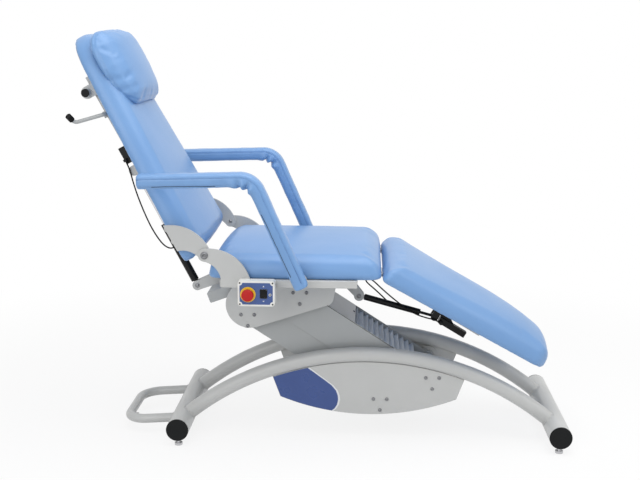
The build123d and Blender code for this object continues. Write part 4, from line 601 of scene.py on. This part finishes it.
def pillowPiece(s):
    start = hinge - backRun * s["head"] - backOut * layout["backFront"]
    bedSteps, sideSteps, crownSteps = s["steps"]
    thin, swelling = s["thin"]
    stations = [s["roll"] * (1 - cos(turn)) for turn in endTurns]
    stations += [s["roll"] + (s["length"] - 2 * s["roll"]) * i / 10 for i in range(1, 10)]
    stations += [s["length"] - s["roll"] * (1 - cos(turn)) for turn in reversed(endTurns)]
    points = []
    for distance in stations:
        share = distance / s["length"]
        full = rounding(min(distance, s["length"] - distance), s["roll"])
        half = threeWay(s["half"], share) - s["draw"] * (1 - full)
        rise = threeWay(s["height"], share) * (thin + swelling * full)
        side = s["side"] * (thin + swelling * full)
        edge = pillowBed(s, half)
        bed = [-half + 2 * half * i / bedSteps for i in range(bedSteps)]
        section = [(x, pillowBed(s, x)) for x in bed]
        for i in range(sideSteps):
            turn = i / sideSteps * pi / 2
            section.append((half + s["bulge"] * sin(2 * turn), edge + side * i / sideSteps))
        for i in range(crownSteps + 1):
            turn = i / crownSteps * pi
            lift = max(0.0, sin(turn)) ** s["crownPower"]
            section.append((half * cos(turn), edge + side + (s["crown"] + rise - edge - side) * lift))
        for i in range(1, sideSteps + 1):
            turn = i / sideSteps * pi / 2
            section.append((-half - s["bulge"] * sin(2 * turn), edge + side * (sideSteps - i) / sideSteps))
        section.pop()
        origin = start + backRun * distance
        points += [origin + Vector((0, x, 0)) + backOut * z for x, z in section]
    size = len(points) // len(stations)
    faces = ringFaces(len(stations), size)
    piece = makePiece("headPillow", points, faces, "blueVinyl", "backrest", "blue_vinyl")
    remeshPiece(piece, s["voxel"], s["smoothing"])

    def isHeld(place):
        off = place - start
        return off.dot(backOut) < pillowBed(s, off.y) + s["hold"]

    inflatePiece(piece, s, (backRun, Vector((0, 1, 0)), backOut), isHeld)
    piece.data.update()
    normals = [v.normal.copy() for v in piece.data.vertices]
    nearStart, nearOver = s["nearFrom"]
    for vertex, normal in zip(piece.data.vertices, normals):
        off = vertex.co - start
        share = off.dot(backRun) / s["length"]
        half = threeWay(s["half"], min(1.0, max(0.0, share)))
        reach = max(abs(off.y) / half, abs(2 * share - 1))
        level = off.dot(backOut) - pillowBed(s, off.y)
        near = max(0.0, min(1.0, (reach - nearStart) / nearOver))
        near *= max(0.0, min(1.0, level / s["nearLevel"]))
        turn = atan2(off.y / half, 1 - 2 * share)
        spot = Vector((cos(turn) * s["pleatCount"], sin(turn) * s["pleatCount"], level * s["pleatRise"]))
        push = s["pleat"] * noise.noise(spot) * near
        ridge = s["side"] * s["seamLevel"] + s["seamWave"] * sin(4 * turn)
        push -= s["seam"] * exp(-((level - ridge) / s["seamWidth"]) ** 2) * near
        if off.y < 0:
            for place, slant, width, depth in s["folds"]:
                gap = (share - place - slant * (level - s["foldMiddle"])) * s["length"]
                push -= depth * exp(-(gap / width) ** 2) * near * max(0.0, 1 - level / s["foldTop"])
        vertex.co += normal * push
    piece.modifiers.new("fine", "SUBSURF").render_levels = 1
    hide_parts("head_pillow")
    print("headPillow made with", len(piece.data.vertices), "points")


pillowPiece(pillow)

# Armrest sleeves: a stitched cover round the bent tube, gathered at the inside of the bend
armrest = {
    "pivot": (-0.064, 0.600), "corner": (-0.214, 0.934), "rear": (-0.580, 0.923), "bend": 0.062,
    "y": 0.380, "width": 0.029, "depth": 0.0235, "step": 0.005, "sides": 56, "power": 3.4,
    "seamHeight": 0.0105, "seamDepth": 0.0020, "piping": 0.0011, "taper": 0.19, "taperWidth": 0.78,
    # The seam shadow: a thin dark blue tube just below each piping, as painted shade under the raised welt
    "seamShadowRadius": 0.0009, "seamShadowDrop": 0.0018, "pipingLift": 0.0004,
    "endRound": 0.010, "lowEnd": 0.017, "lowClosing": (0.8, 0.2), "endClosing": (0.72, 0.28), "fill": 0.6,
    "folds": ((-0.030, 0.011, 0.0060), (-0.008, 0.007, -0.0090), (0.010, 0.009, 0.0075),
              (0.027, 0.006, -0.0070), (0.045, 0.012, 0.0040)),
    "foldInner": (0.25, 1.3), "foldSkew": 0.012, "foldWander": (0.004, 60),
    # The slit: a dent at the inner lower corner of the sleeve with a thin black line along it, for the black
    # padding seen through the opening and painted shade in the gap
    "slit": (0.10, 0.0045, 0.0050), "slitTurn": {-1: 1.25, 1: 1.75}, "slitEdge": 0.86, "slitBend": 0.05,
    "slitLow": 0.03, "slitShown": 0.55, "slitEnd": 0.05, "slitOut": 0.01, "slitShadeLine": 0.0012,
    "slitShortest": 8,
    "ripples": ((0.0010, 22, 30, 5), (0.0006, 70, 50, -5)),
}
armrestBodies = {1: "left_armrest", -1: "right_armrest"}


# Places along the armrest with the direction of travel and the outside of the bend
def armrestPath(s, y):
    pivot, corner, rear = (Vector((p[0], y, p[1])) for p in (s["pivot"], s["corner"], s["rear"]))
    first, second = (corner - pivot).normalized(), (rear - corner).normalized()
    turn = first.angle(second)
    reach = s["bend"] * (1 / cos(turn / 2)) * sin(turn / 2)
    enter = corner - first * reach
    lengths = ((enter - pivot).length, s["bend"] * turn, (rear - corner).length - reach)
    inward = Vector((-first.z, 0, first.x))
    centre = enter + inward * s["bend"]
    stations = []
    total = sum(lengths)
    low = -s["lowEnd"]
    count = int((total - low) / s["step"])
    for index in range(count + 1):
        along = low + (total - low) * index / count
        if along <= lengths[0]:
            place, way = pivot + first * along, first
        elif along < lengths[0] + lengths[1]:
            angle = (along - lengths[0]) / s["bend"]
            way = first * cos(angle) + inward * sin(angle)
            outside = Vector((way.z, 0, -way.x))
            place = centre + outside * s["bend"]
        else:
            way = second
            place = corner + second * (reach + along - lengths[0] - lengths[1])
        stations.append((along, place, way, Vector((way.z, 0, -way.x))))
    return stations, lengths


# Point of the sleeve's rounded square section at an angle
def sleevePoint(s, angle):
    c, d = cos(angle), sin(angle)
    share = 2 / s["power"]
    wide = s["width"] * abs(c) ** share * (1 if c > 0 else -1)
    deep = s["depth"] * abs(d) ** share * (1 if d > 0 else -1)
    return wide, deep


def sleevePiece(name, s, side):
    body = armrestBodies[side]
    stations, lengths = armrestPath(s, side * s["y"])
    total = sum(lengths)
    bend = lengths[0] + lengths[1] / 2
    angles = [2 * pi * i / s["sides"] for i in range(s["sides"])]
    points, seams, outsides, slits = [], {1: [], -1: []}, {1: [], -1: []}, [[], []]
    corner = min(range(s["sides"]), key=lambda i: abs(angles[i] - s["slitTurn"][side] * pi))
    seamAngle = {}
    for way in (1, -1):
        options = [(abs(sleevePoint(s, a)[1] - s["seamHeight"]), i)
                   for i, a in enumerate(angles) if cos(a) * way > 0]
        seamAngle[way] = min(options)[1]
    start, spread, cut = s["slit"]
    for along, place, way, outside in stations:
        closing = 1.0
        if along < 0:
            least, more = s["lowClosing"]
            closing = least + more * rounding(along + s["lowEnd"], s["lowEnd"])
        elif total - along < s["endRound"]:
            least, more = s["endClosing"]
            closing = least + more * rounding(total - along, s["endRound"])
        narrow = s["taperWidth"] + (1 - s["taperWidth"]) * min(1.0, max(0.0, along / s["taper"]))
        opening = min(1.0, max(0.0, (abs(along - bend) - s["slitBend"]) / start))
        opening *= 1.0 if along > s["slitLow"] else 0.0
        for index, angle in enumerate(angles):
            wide, deep = sleevePoint(s, angle)
            square = Vector((wide / s["width"] ** 2, deep / s["depth"] ** 2, 0)).normalized()
            push = 0.0
            if index in seamAngle.values():
                push -= s["seamDepth"]
            inner = max(0.0, min(1.0, s["foldInner"][0] - s["foldInner"][1] * deep / s["depth"]))
            wander, scale = s["foldWander"]
            skew = s["foldSkew"] * wide / s["width"] * side
            skew += wander * noise.noise(Vector((wide * scale, deep * scale, side)))
            for middle, width, depth in s["folds"]:
                push += depth * inner * exp(-((along - bend - middle - skew) / width) ** 2)
            toSlit = Vector((wide - side * s["width"] * s["slitEdge"], deep + s["depth"] * s["slitEdge"]))
            push -= cut * opening * exp(-(toSlit.length / spread) ** 2)
            for depth, length, girth, shift in s["ripples"]:
                spot = Vector((along * length, wide * girth, deep * girth + side * shift))
                push += depth * noise.noise(spot)
            wide = (wide + square.x * push) * (closing if along > 0 else 1.0) * narrow
            deep = (deep + square.y * push) * closing
            points.append(place + Vector((0, wide, 0)) + outside * deep)
            if index == corner and opening > s["slitShown"] and total - along > s["slitEnd"]:
                slits[0 if along < bend else 1].append(points[-1] + Vector((0, wide, 0)) * s["slitOut"])
            for seam, seamIndex in seamAngle.items():
                if index == seamIndex and 0 < along < total - s["endRound"] / 2:
                    outsides[seam].append(outside)
                    normal = Vector((0, square.x, 0)) + outside * square.y
                    seams[seam].append(points[-1] + normal * s["pipingLift"])
    faces = ringFaces(len(stations), s["sides"])
    piece = makePiece(name, points, faces, "blueVinyl", body, "blue_vinyl")
    piece.modifiers.new("fine", "SUBSURF").render_levels = 1
    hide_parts(body + "_sleeve")
    for seam, line in seams.items():
        label = name + ("Outer" if seam == side else "Inner")
        makePiece(label + "Piping", *tubeMesh(line, s["piping"], 8), "vinylPiping", body, "blue_vinyl")
        # Painted shade: a thin dark blue tube just below the piping, standing for the shade under the raised
        # welt
        lower = [place - outside * s["seamShadowDrop"] for place, outside in zip(line, outsides[seam])]
        made = tubeMesh(lower, s["seamShadowRadius"], 6)
        makePiece(label + "SeamShadow", *made, "vinylShadow", body, "blue_vinyl")
    # A thin black line along the slit: the black padding seen through the opening, with painted shade in the
    # gap
    for index, line in enumerate(slits):
        if len(line) > s["slitShortest"]:
            made = tubeMesh(line, s["slitShadeLine"], 6)
            makePiece(name + "Slit" + str(index), *made, "blackRubber", body, "black_rubber")


# Several meshes as one
def mergeMeshes(meshes):
    points, faces = [], []
    for some, ends in meshes:
        faces += [tuple(i + len(points) for i in face) for face in ends]
        points += some
    return points, faces


# Round tube along a line of points
def tubeMesh(line, radius, sides):
    points = []
    for index, place in enumerate(line):
        before, after = line[max(0, index - 1)], line[min(len(line) - 1, index + 1)]
        way = (after - before).normalized()
        level = way.orthogonal() if abs(way.y) > 0.9 else way.cross(Vector((0, 1, 0)))
        level.normalize()
        other = way.cross(level)
        for step in range(sides):
            angle = 2 * pi * step / sides
            points.append(place + (level * cos(angle) + other * sin(angle)) * radius)
    return points, ringFaces(len(line), sides)


# Turned heads at several spots: a profile of radius and height, the last rings drawn in to a hexagon
def turnedMesh(spots, profile, sides=24, hexagons=2):
    meshes = []
    for centre, axis in spots:
        level = axis.orthogonal().normalized()
        other = axis.cross(level)
        points = []
        for ring, (radius, height) in enumerate(profile):
            for step in range(sides):
                angle = 2 * pi * step / sides
                reach = radius
                if ring >= len(profile) - hexagons:
                    reach *= cos(pi / 6) / cos(angle % (pi / 3) - pi / 6)
                points.append(centre + axis * height + (level * cos(angle) + other * sin(angle)) * reach)
        meshes.append((points, ringFaces(len(profile), sides)))
    return mergeMeshes(meshes)


# Flat sheet with an outline given across a plane and a thickness out of it
def sheetMesh(outline, origin, across, rise, thickness):
    out = across.cross(rise).normalized() * thickness
    lower = [origin + across * x + rise * z for x, z in outline]
    points = lower + [place + out for place in lower]
    size = len(outline)
    faces = [tuple(reversed(range(size))), tuple(size + step for step in range(size))]
    faces += [(step, (step + 1) % size, size + (step + 1) % size, size + step) for step in range(size)]
    return points, faces


sleevePiece("rightArmrestSleeve", armrest, -1)
sleevePiece("leftArmrestSleeve", armrest, 1)
print("armrest sleeves made")

# Fasteners: button heads round the lift's pivots, and the bolts of the hinges and armrests
fasteners = {
    "plateFace": 0.1625, "circle": 0.0265, "angles": (-90, 30, 150), "hingeFace": 0.315, "armFace": 0.331,
    "basePivots": ((0.200, 0.130), (0.379, 0.210)),
    "carriagePivots": ((-0.25778, 0.42389), (-0.07878, 0.50389)),
    "button": ((6.5, 0), (6.5, 0.9), (6.1, 1.9), (5.2, 2.8), (4.1, 3.4), (3.4, 3.5), (2.9, 3.3), (2.8, 1.4)),
    "hingeBolt": ((6, 0), (6, 17.6), (12, 17.6), (12.6, 18.1), (12.6, 19.3), (12.1, 19.8), (10, 19.8),
                  (10, 23.2), (9.4, 24.8), (8.2, 25.7), (6.4, 26.0), (5.4, 25.6), (5.2, 21.5)),
    "armBolt": ((6, 0), (6, 54), (5.2, 55), (3.4, 55), (3.2, 52)),
    "dark": ((4.2, 0), (4.2, 0.9), (3.7, 1.6), (2.4, 1.9), (1.9, 1.8), (1.8, 0.8)),
    "springFeet": ((-0.454, 0.502), (0.122, 0.472)), "pinEnd": 0.0125,
    "pinHead": ((8.6, 0), (8.6, 1.3), (8.2, 1.7), (6.2, 1.7), (5.8, 1.2), (5.2, 3.6), (3.2, 4.4), (0.6, 4.5)),
    "caseScrew": ((2.7, 0), (2.7, 0.7), (2.3, 1.2), (1.5, 1.3), (1.2, 1.2), (1.1, 0.5)),
}


# Profile in metres from pairs of radius and height in millimetres
def inMetres(profile):
    return [(radius / 1000, height / 1000) for radius, height in profile]


def profileOf(name):
    return inMetres(fasteners[name])


def pivotHeads(name, pivots, body, replaced):
    spots = []
    for x, z in pivots:
        for side in (-1, 1):
            for angle in fasteners["angles"]:
                turn = radians(angle)
                place = Vector((x + fasteners["circle"] * cos(turn), side * fasteners["plateFace"],
                                z + fasteners["circle"] * sin(turn)))
                spots.append((place, Vector((0, side, 0))))
    piece = makePiece(name, *turnedMesh(spots, profileOf("button")), "screwSteel", body, "bright_steel")
    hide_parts(replaced)


pivotHeads("basePivotScrews", fasteners["basePivots"], "base", "base_pivot_bolts")
pivotHeads("carriagePivotScrews", fasteners["carriagePivots"], "carriage", "carriage_pivot_bolts")
bolts = []
armX, armZ = armrest["pivot"]
for side in (-1, 1):
    out = Vector((0, side, 0))
    hingeSpot = Vector((hinge.x, side * fasteners["hingeFace"], hinge.z))
    armSpot = Vector((armX, side * fasteners["armFace"], armZ))
    bolts.append(turnedMesh([(hingeSpot, out)], profileOf("hingeBolt")))
    bolts.append(turnedMesh([(armSpot, out)], profileOf("armBolt")))
pivotBolts = makePiece("pivotBolts", *mergeMeshes(bolts), "screwSteel", "carriage", "bright_steel")
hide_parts("pivot_bolts")
pinEnds = [(Vector((x, side * fasteners["pinEnd"], z)), Vector((0, side, 0)))
           for x, z in fasteners["springFeet"] for side in (-1, 1)]
made = turnedMesh(pinEnds, profileOf("pinHead"))
makePiece("springPinHeads", *made, "screwSteel", "carriage", "bright_steel")

# Hood of the upper arm: one screw in its top sheet, and the seams between its top and its sides
hood = {
    "slope": 32.7, "top": 0.018, "screw": (0.207, 0.020),
    "half": 0.122, "seam": (0.040, 0.535), "seamDrop": 0.0022, "seamLine": 0.0008,
}


def addHood(s):
    run, out = slopeFrame(s["slope"])
    x, z = fasteners["carriagePivots"][1]
    pivot = Vector((x, 0, z))
    along, across = s["screw"]
    spot = pivot + run * along + out * s["top"] + Vector((0, across, 0))
    made = turnedMesh([(spot, out)], profileOf("dark"))
    makePiece("hoodScrew", *made, "blackPaint", "upper_arm", "black_paint")
    seams = []
    for side in (-1, 1):
        edge = pivot + out * (s["top"] - s["seamDrop"]) + Vector((0, side * s["half"], 0))
        seams.append(tubeMesh([edge + run * along for along in s["seam"]], s["seamLine"], 6))
    makePiece("hoodSeams", *mergeMeshes(seams), "blackPaint", "upper_arm", "black_paint")


addHood(hood)
print("fasteners made")

# Weld beads where the bowed tubes and the rear loop meet the cross tubes
welds = {
    "crossRadius": 0.0381, "crossZ": 0.060, "span": 0.646, "y": 0.150, "bowRadius": 0.0254, "bowSlope": 40.76,
    "loopRadius": 0.015875, "loopLean": 3.93, "bead": 0.0021, "ripple": 0.0006, "rippleCount": 26,
    "lift": 0.0003, "steps": 72, "sides": 7,
}


# Bead round a tube that meets the cross tube, following the curve where they meet
def weldRing(s, centre, way, radius):
    side = Vector((0, 1, 0))
    up = way.cross(side)
    line = []
    for step in range(s["steps"] + 1):
        angle = 2 * pi * step / s["steps"]
        reach = sqrt(s["crossRadius"] ** 2 - (radius * cos(angle)) ** 2)
        place = centre + way * reach + up * radius * cos(angle) + side * radius * sin(angle)
        line.append(place + way * s["ripple"] * sin(angle * s["rippleCount"]) + way * s["lift"])
    return tubeMesh(line, s["bead"], s["sides"])


beads = []
slope, lean = radians(welds["bowSlope"]), radians(welds["loopLean"])
for side in (-1, 1):
    for end in (-1, 1):
        centre = Vector((layout["baseX"] + end * welds["span"], side * welds["y"], welds["crossZ"]))
        way = Vector((-end * cos(slope), 0, sin(slope)))
        beads.append(weldRing(welds, centre, way, welds["bowRadius"]))
    centre = Vector((layout["baseX"] - welds["span"], side * welds["y"], welds["crossZ"]))
    way = Vector((-cos(lean), 0, -sin(lean)))
    beads.append(weldRing(welds, centre, way, welds["loopRadius"]))
makePiece("baseWeldBeads", *mergeMeshes(beads), "greyPaint", "base", "light_grey_paint")
print("weld beads made")

# Plain dark field with a light border at the rear of the near side plate
plateFilm = {
    "y": -0.1626, "thickness": 0.0005, "fieldLift": 0.0003, "inset": 0.0012, "border": 0.0065,
    "bellySteps": 12, "topSteps": 8,
    "front": ((-209, 250), (-180, 230.5), (-150, 208.5), (-126, 190), (-111, 172), (-104.5, 154), (-103, 138),
              (-107, 120), (-115, 107), (-125, 100)),
    "top": (-0.6894, 0.9649), "belly": (0.9007, 0.8127), "rear": (-330, -304),
}


# Outline of the film: its curved front edge, then the plate's belly, its rear and its top
def filmOutline(s, shift):
    front = [((x / 1000) + shift, z / 1000) for x, z in s["front"]]
    topCentre, topRadius = s["top"]
    bellyCentre, bellyRadius = s["belly"]
    front[0] = (front[0][0], topCentre + sqrt((topRadius - s["inset"]) ** 2 - front[0][0] ** 2))
    front[-1] = (front[-1][0], bellyCentre - sqrt((bellyRadius - s["inset"]) ** 2 - front[-1][0] ** 2))
    rearX, cornerX = (x / 1000 + s["inset"] for x in s["rear"])
    bellySteps, topSteps = s["bellySteps"], s["topSteps"]
    belly = [front[-1][0] + (cornerX - front[-1][0]) * i / bellySteps for i in range(1, bellySteps + 1)]
    top = [rearX + (front[0][0] - rearX) * i / topSteps for i in range(topSteps)]
    points = front + [(x, bellyCentre - sqrt((bellyRadius - s["inset"]) ** 2 - x ** 2)) for x in belly]
    return points + [(x, topCentre + sqrt((topRadius - s["inset"]) ** 2 - x ** 2)) for x in top]


def filmPiece(name, s, shift, lift, finish, slotName):
    origin = Vector((layout["baseX"], s["y"], 0)) - Vector((0, lift, 0))
    made = sheetMesh(filmOutline(s, shift), origin, Vector((1, 0, 0)), Vector((0, 0, 1)), s["thickness"])
    piece = makePiece(name, *made, finish, "base", slotName)
    for face in piece.data.polygons:
        face.use_smooth = False


filmPiece("sidePlateBorder", plateFilm, plateFilm["border"], 0.0, "whiteFilm", "white_plastic")
filmPiece("sidePlateField", plateFilm, 0.0, plateFilm["fieldLift"], "navyFilm", "blue_label")
print("side plate film made")

# Control panel: the case's screws, a jack, the stop button's cap and two plain arrows
panel = {
    "middle": (-0.2055, 0.5625), "front": -0.370, "face": -0.3712, "screws": (0.0530, 0.0350),
    "screwSides": 18, "rocker": (-0.1815, 0.5625), "stop": (-0.232, 0.560), "jack": (-0.1605, 0.5596),
    "arrow": 0.0033, "arrowTall": 1.3, "arrowRise": 0.0225, "arrowThickness": 0.0003,
    "stopCap": ((10.5, -1), (11.5, 0), (11.5, 6.6), (15.5, 7.2), (19.2, 8.9), (20, 10.4), (20, 17.5),
                (19.4, 19.2), (17.8, 20.4), (15.4, 21.0), (13.2, 20.7), (12.4, 20.9), (7.0, 21.6),
                (0.6, 21.8)),
    "capSides": 132, "grips": 22, "gripDepth": 0.0007, "gripRings": (4, 7),
    "jackRim": ((4.4, 0), (4.4, 1.5), (3.9, 2.0), (2.8, 2.0), (2.5, 0.8)),
    "jackCore": ((2.4, 0), (2.4, 1.1), (1.6, 1.2)),
}


# Place on the panel from its x and its height, at the given y
def panelPlace(x, z, y):
    return Vector((x, y, z))


def addPanel(s):
    out = Vector((0, -1, 0))
    x0, z0 = s["middle"]
    dx, dz = s["screws"]
    spots = [(panelPlace(x0 + a * dx, z0 + b * dz, s["front"]), out) for a in (-1, 1) for b in (-1, 1)]
    made = turnedMesh(spots, profileOf("caseScrew"), s["screwSides"])
    makePiece("panelCaseScrews", *made, "blackPaint", "carriage", "black_paint")
    jack = [(panelPlace(*s["jack"], s["face"]), out)]
    rim, core = inMetres(s["jackRim"]), inMetres(s["jackCore"])
    makePiece("jackRim", *turnedMesh(jack, rim, hexagons=0), "whitePlastic", "carriage", "white_plastic")
    makePiece("jackCore", *turnedMesh(jack, core, hexagons=0), "blackPlastic", "carriage", "black_plastic")
    sides = s["capSides"]
    stop = [(panelPlace(*s["stop"], s["face"]), out)]
    points, faces = turnedMesh(stop, inMetres(s["stopCap"]), sides, 0)
    centre = panelPlace(*s["stop"], 0)
    firstGrip, lastGrip = s["gripRings"]
    for index, place in enumerate(points):
        ring, step = divmod(index, sides)
        if firstGrip <= ring <= lastGrip:
            off = Vector((place.x - centre.x, 0, place.z - centre.z)).normalized()
            dip = 0.5 + 0.5 * cos(2 * pi * step * s["grips"] / sides)
            points[index] = place - off * s["gripDepth"] * dip
    button = makePiece("stopCap", points, faces, "redPlastic", "stop_button", "red_plastic")
    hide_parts("stop_button")
    arrows = []
    rockerX, rockerZ = s["rocker"]
    for way in (-1, 1):
        origin = panelPlace(rockerX, rockerZ + way * s["arrowRise"], s["face"])
        outline = [(-s["arrow"], 0), (s["arrow"], 0), (0, s["arrow"] * s["arrowTall"] * way)]
        if way < 0:
            outline.reverse()
        arrows.append(sheetMesh(outline, origin, Vector((1, 0, 0)), Vector((0, 0, 1)), s["arrowThickness"]))
    makePiece("liftArrows", *mergeMeshes(arrows), "whiteFilm", "carriage", "white_plastic")


addPanel(panel)
print("panel details made")


# Leg frame with its rails ended behind the release block, where the photograph shows them end,
# and with its low ears black
legFrameEnd = {"keep": 0.402, "squeeze": 0.10, "earDepth": 0.036}


def trimmedFrame(s):
    mesh = nodes["leg_frame"].data.copy()
    for vertex in mesh.vertices:
        along = (vertex.co - knee).dot(legRun)
        if along > s["keep"]:
            vertex.co -= legRun * (along - s["keep"]) * (1 - s["squeeze"])
    mesh.update()
    mesh.materials.append(materials["blackPaint"])
    for face in mesh.polygons:
        if (face.center - knee).dot(legOut) < -s["earDepth"]:
            face.material_index = len(mesh.materials) - 1
    piece = bpy.data.objects.new("legFrame", mesh)
    bpy.context.scene.collection.objects.link(piece)
    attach(piece, "leg_rest")
    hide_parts("leg_frame")


trimmedFrame(legFrameEnd)
print("leg frame trimmed")

# Release cables, on the routes that the solids follow
cables = {
    "thickness": 0.005,
    "roundness": 3,
    "smoothness": 16,
    "backLength": 0.4107,
    "backAlong": (385, 362, 318, 265, 202, 140, 88, 60, 44, 42, 53, 62, 62),
    "backBehind": (76, 76, 88, 99.5, 108.5, 113.5, 110.5, 103, 90, 73, 58, 47, 34),
    "backY": -0.026,
    "legLength": 0.4591,
    "legX": (66, 66, 56, 36, 10, -9, -14, -2, 16, 42, 80, 125, 167, 206, 234, 249.8),
    "legY": (11.3, 24, 33, 34, 27, 14, 0, -12, -20, -25, -26, -26, -26, -26, -26, -26),
    "legZ": (444.6, 444.6, 453, 472, 497, 516, 531, 538, 529, 505, 472, 437, 411, 399, 393.4, 383.9),
}


def cablePiece(name, places, body, replaced):
    curve = bpy.data.curves.new(name, "CURVE")
    curve.dimensions = "3D"
    curve.bevel_depth = cables["thickness"] / 2
    curve.bevel_resolution = cables["roundness"]
    curve.resolution_u = cables["smoothness"]
    curve.use_fill_caps = True
    spline = curve.splines.new("NURBS")
    spline.points.add(len(places) - 1)
    for point, place in zip(spline.points, places):
        point.co = (*place, 1)
    spline.order_u = 3
    spline.use_endpoint_u = True
    curve.materials.append(materials["blackRubber"])
    piece = bpy.data.objects.new(name, curve)
    bpy.context.scene.collection.objects.link(piece)
    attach(piece, body)
    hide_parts(replaced)


# Place a distance up the backrest from the hinge, and behind its board
def backPlace(along, behind, y):
    place = hinge - backRun * along - backOut * (layout["backFront"] + behind)
    return Vector((place.x, y, place.z))


backRoute = [backPlace(a / 1000, b / 1000, cables["backY"])
             for a, b in zip(cables["backAlong"], cables["backBehind"])]
legRoute = [Vector((layout["baseX"] + x / 1000, y / 1000, z / 1000))
            for x, y, z in zip(cables["legX"], cables["legY"], cables["legZ"])]
cablePiece("backReleaseCable", backRoute, "backrest", "back_release_cable")
cablePiece("legReleaseCable", legRoute, "leg_rest", "leg_release_cable")
print("release cables made")

# Pale floor, sky and lamps
studio = {
    "floorSize": 30.0, "floorTint": (240, 240, 240), "floorGlow": 0.84, "skyStrength": 0.60,
    "floorFade": (1.3, 2.6),
    "lamps": (
        ("overheadLamp", (0.4, -0.6, 3.4), (0.1, 0.0, 0.6), 3.2, 62.0),
        ("frontLamp", (-1.6, -3.6, 2.0), (0.0, 0.0, 0.6), 2.4, 34.0),
        ("footLamp", (3.4, -1.4, 2.2), (0.0, 0.0, 0.6), 2.0, 16.0),
    ),
}


# How much of a surface's or the sky's plain white a ray sees: the camera's and the shiny ones
def plainRays(tree, strength):
    light = addNode(tree, "ShaderNodeLightPath")
    seen = setMath(tree, "MAXIMUM", light.outputs["Is Camera Ray"], light.outputs["Is Glossy Ray"])
    seen = setMath(tree, "MAXIMUM", seen, light.outputs["Is Transmission Ray"])
    return setMath(tree, "MULTIPLY", seen, strength)


def buildStudio(s):
    half = s["floorSize"] / 2
    mesh = bpy.data.meshes.new("studioFloor")
    corners = [(-half, -half, 0), (half, -half, 0), (half, half, 0), (-half, half, 0)]
    mesh.from_pydata(corners, [], [(0, 1, 2, 3)])
    floor = bpy.data.objects.new("studioFloor", mesh)
    bpy.context.scene.collection.objects.link(floor)
    material = bpy.data.materials.new("studioFloor")
    material.use_nodes = True
    tree = material.node_tree
    tree.nodes.clear()
    matt = addNode(tree, "ShaderNodeBsdfDiffuse")
    matt.inputs["Color"].default_value = screenColour(*s["floorTint"])
    glow = addNode(tree, "ShaderNodeEmission")
    mix = addNode(tree, "ShaderNodeMixShader")
    place = addNode(tree, "ShaderNodeNewGeometry")
    reach = addNode(tree, "ShaderNodeVectorMath", operation="LENGTH")
    tree.links.new(place.outputs["Position"], reach.inputs[0])
    fade = addNode(tree, "ShaderNodeMapRange", interpolation_type="SMOOTHSTEP")
    tree.links.new(reach.outputs["Value"], fade.inputs["Value"])
    fade.inputs["From Min"].default_value = s["floorFade"][0]
    fade.inputs["From Max"].default_value = s["floorFade"][1]
    fade.inputs["To Min"].default_value = s["floorGlow"]
    tree.links.new(plainRays(tree, fade.outputs[0]), mix.inputs[0])
    tree.links.new(matt.outputs[0], mix.inputs[1])
    tree.links.new(glow.outputs[0], mix.inputs[2])
    tree.links.new(mix.outputs[0], addNode(tree, "ShaderNodeOutputMaterial").inputs["Surface"])
    mesh.materials.append(material)
    world = bpy.data.worlds.new("studioSky")
    world.use_nodes = True
    tree = world.node_tree
    tree.nodes.clear()
    soft = addNode(tree, "ShaderNodeBackground")
    soft.inputs["Strength"].default_value = s["skyStrength"]
    plain = addNode(tree, "ShaderNodeBackground")
    mix = addNode(tree, "ShaderNodeMixShader")
    for background in (soft, plain):
        background.inputs["Color"].default_value = (1, 1, 1, 1)
    tree.links.new(plainRays(tree, 1.0), mix.inputs[0])
    tree.links.new(soft.outputs[0], mix.inputs[1])
    tree.links.new(plain.outputs[0], mix.inputs[2])
    tree.links.new(mix.outputs[0], addNode(tree, "ShaderNodeOutputWorld").inputs["Surface"])
    bpy.context.scene.world = world
    for name, place, target, size, power in s["lamps"]:
        data = bpy.data.lights.new(name, "AREA")
        data.shape = "DISK"
        data.size = size
        data.energy = power
        lamp = bpy.data.objects.new(name, data)
        lamp.location = place
        lamp.rotation_mode = "QUATERNION"
        lamp.rotation_quaternion = (Vector(target) - Vector(place)).to_track_quat("-Z", "Y")
        bpy.context.scene.collection.objects.link(lamp)


buildStudio(studio)
bpy.context.scene.view_settings.view_transform = "Standard"
print("studio lit")
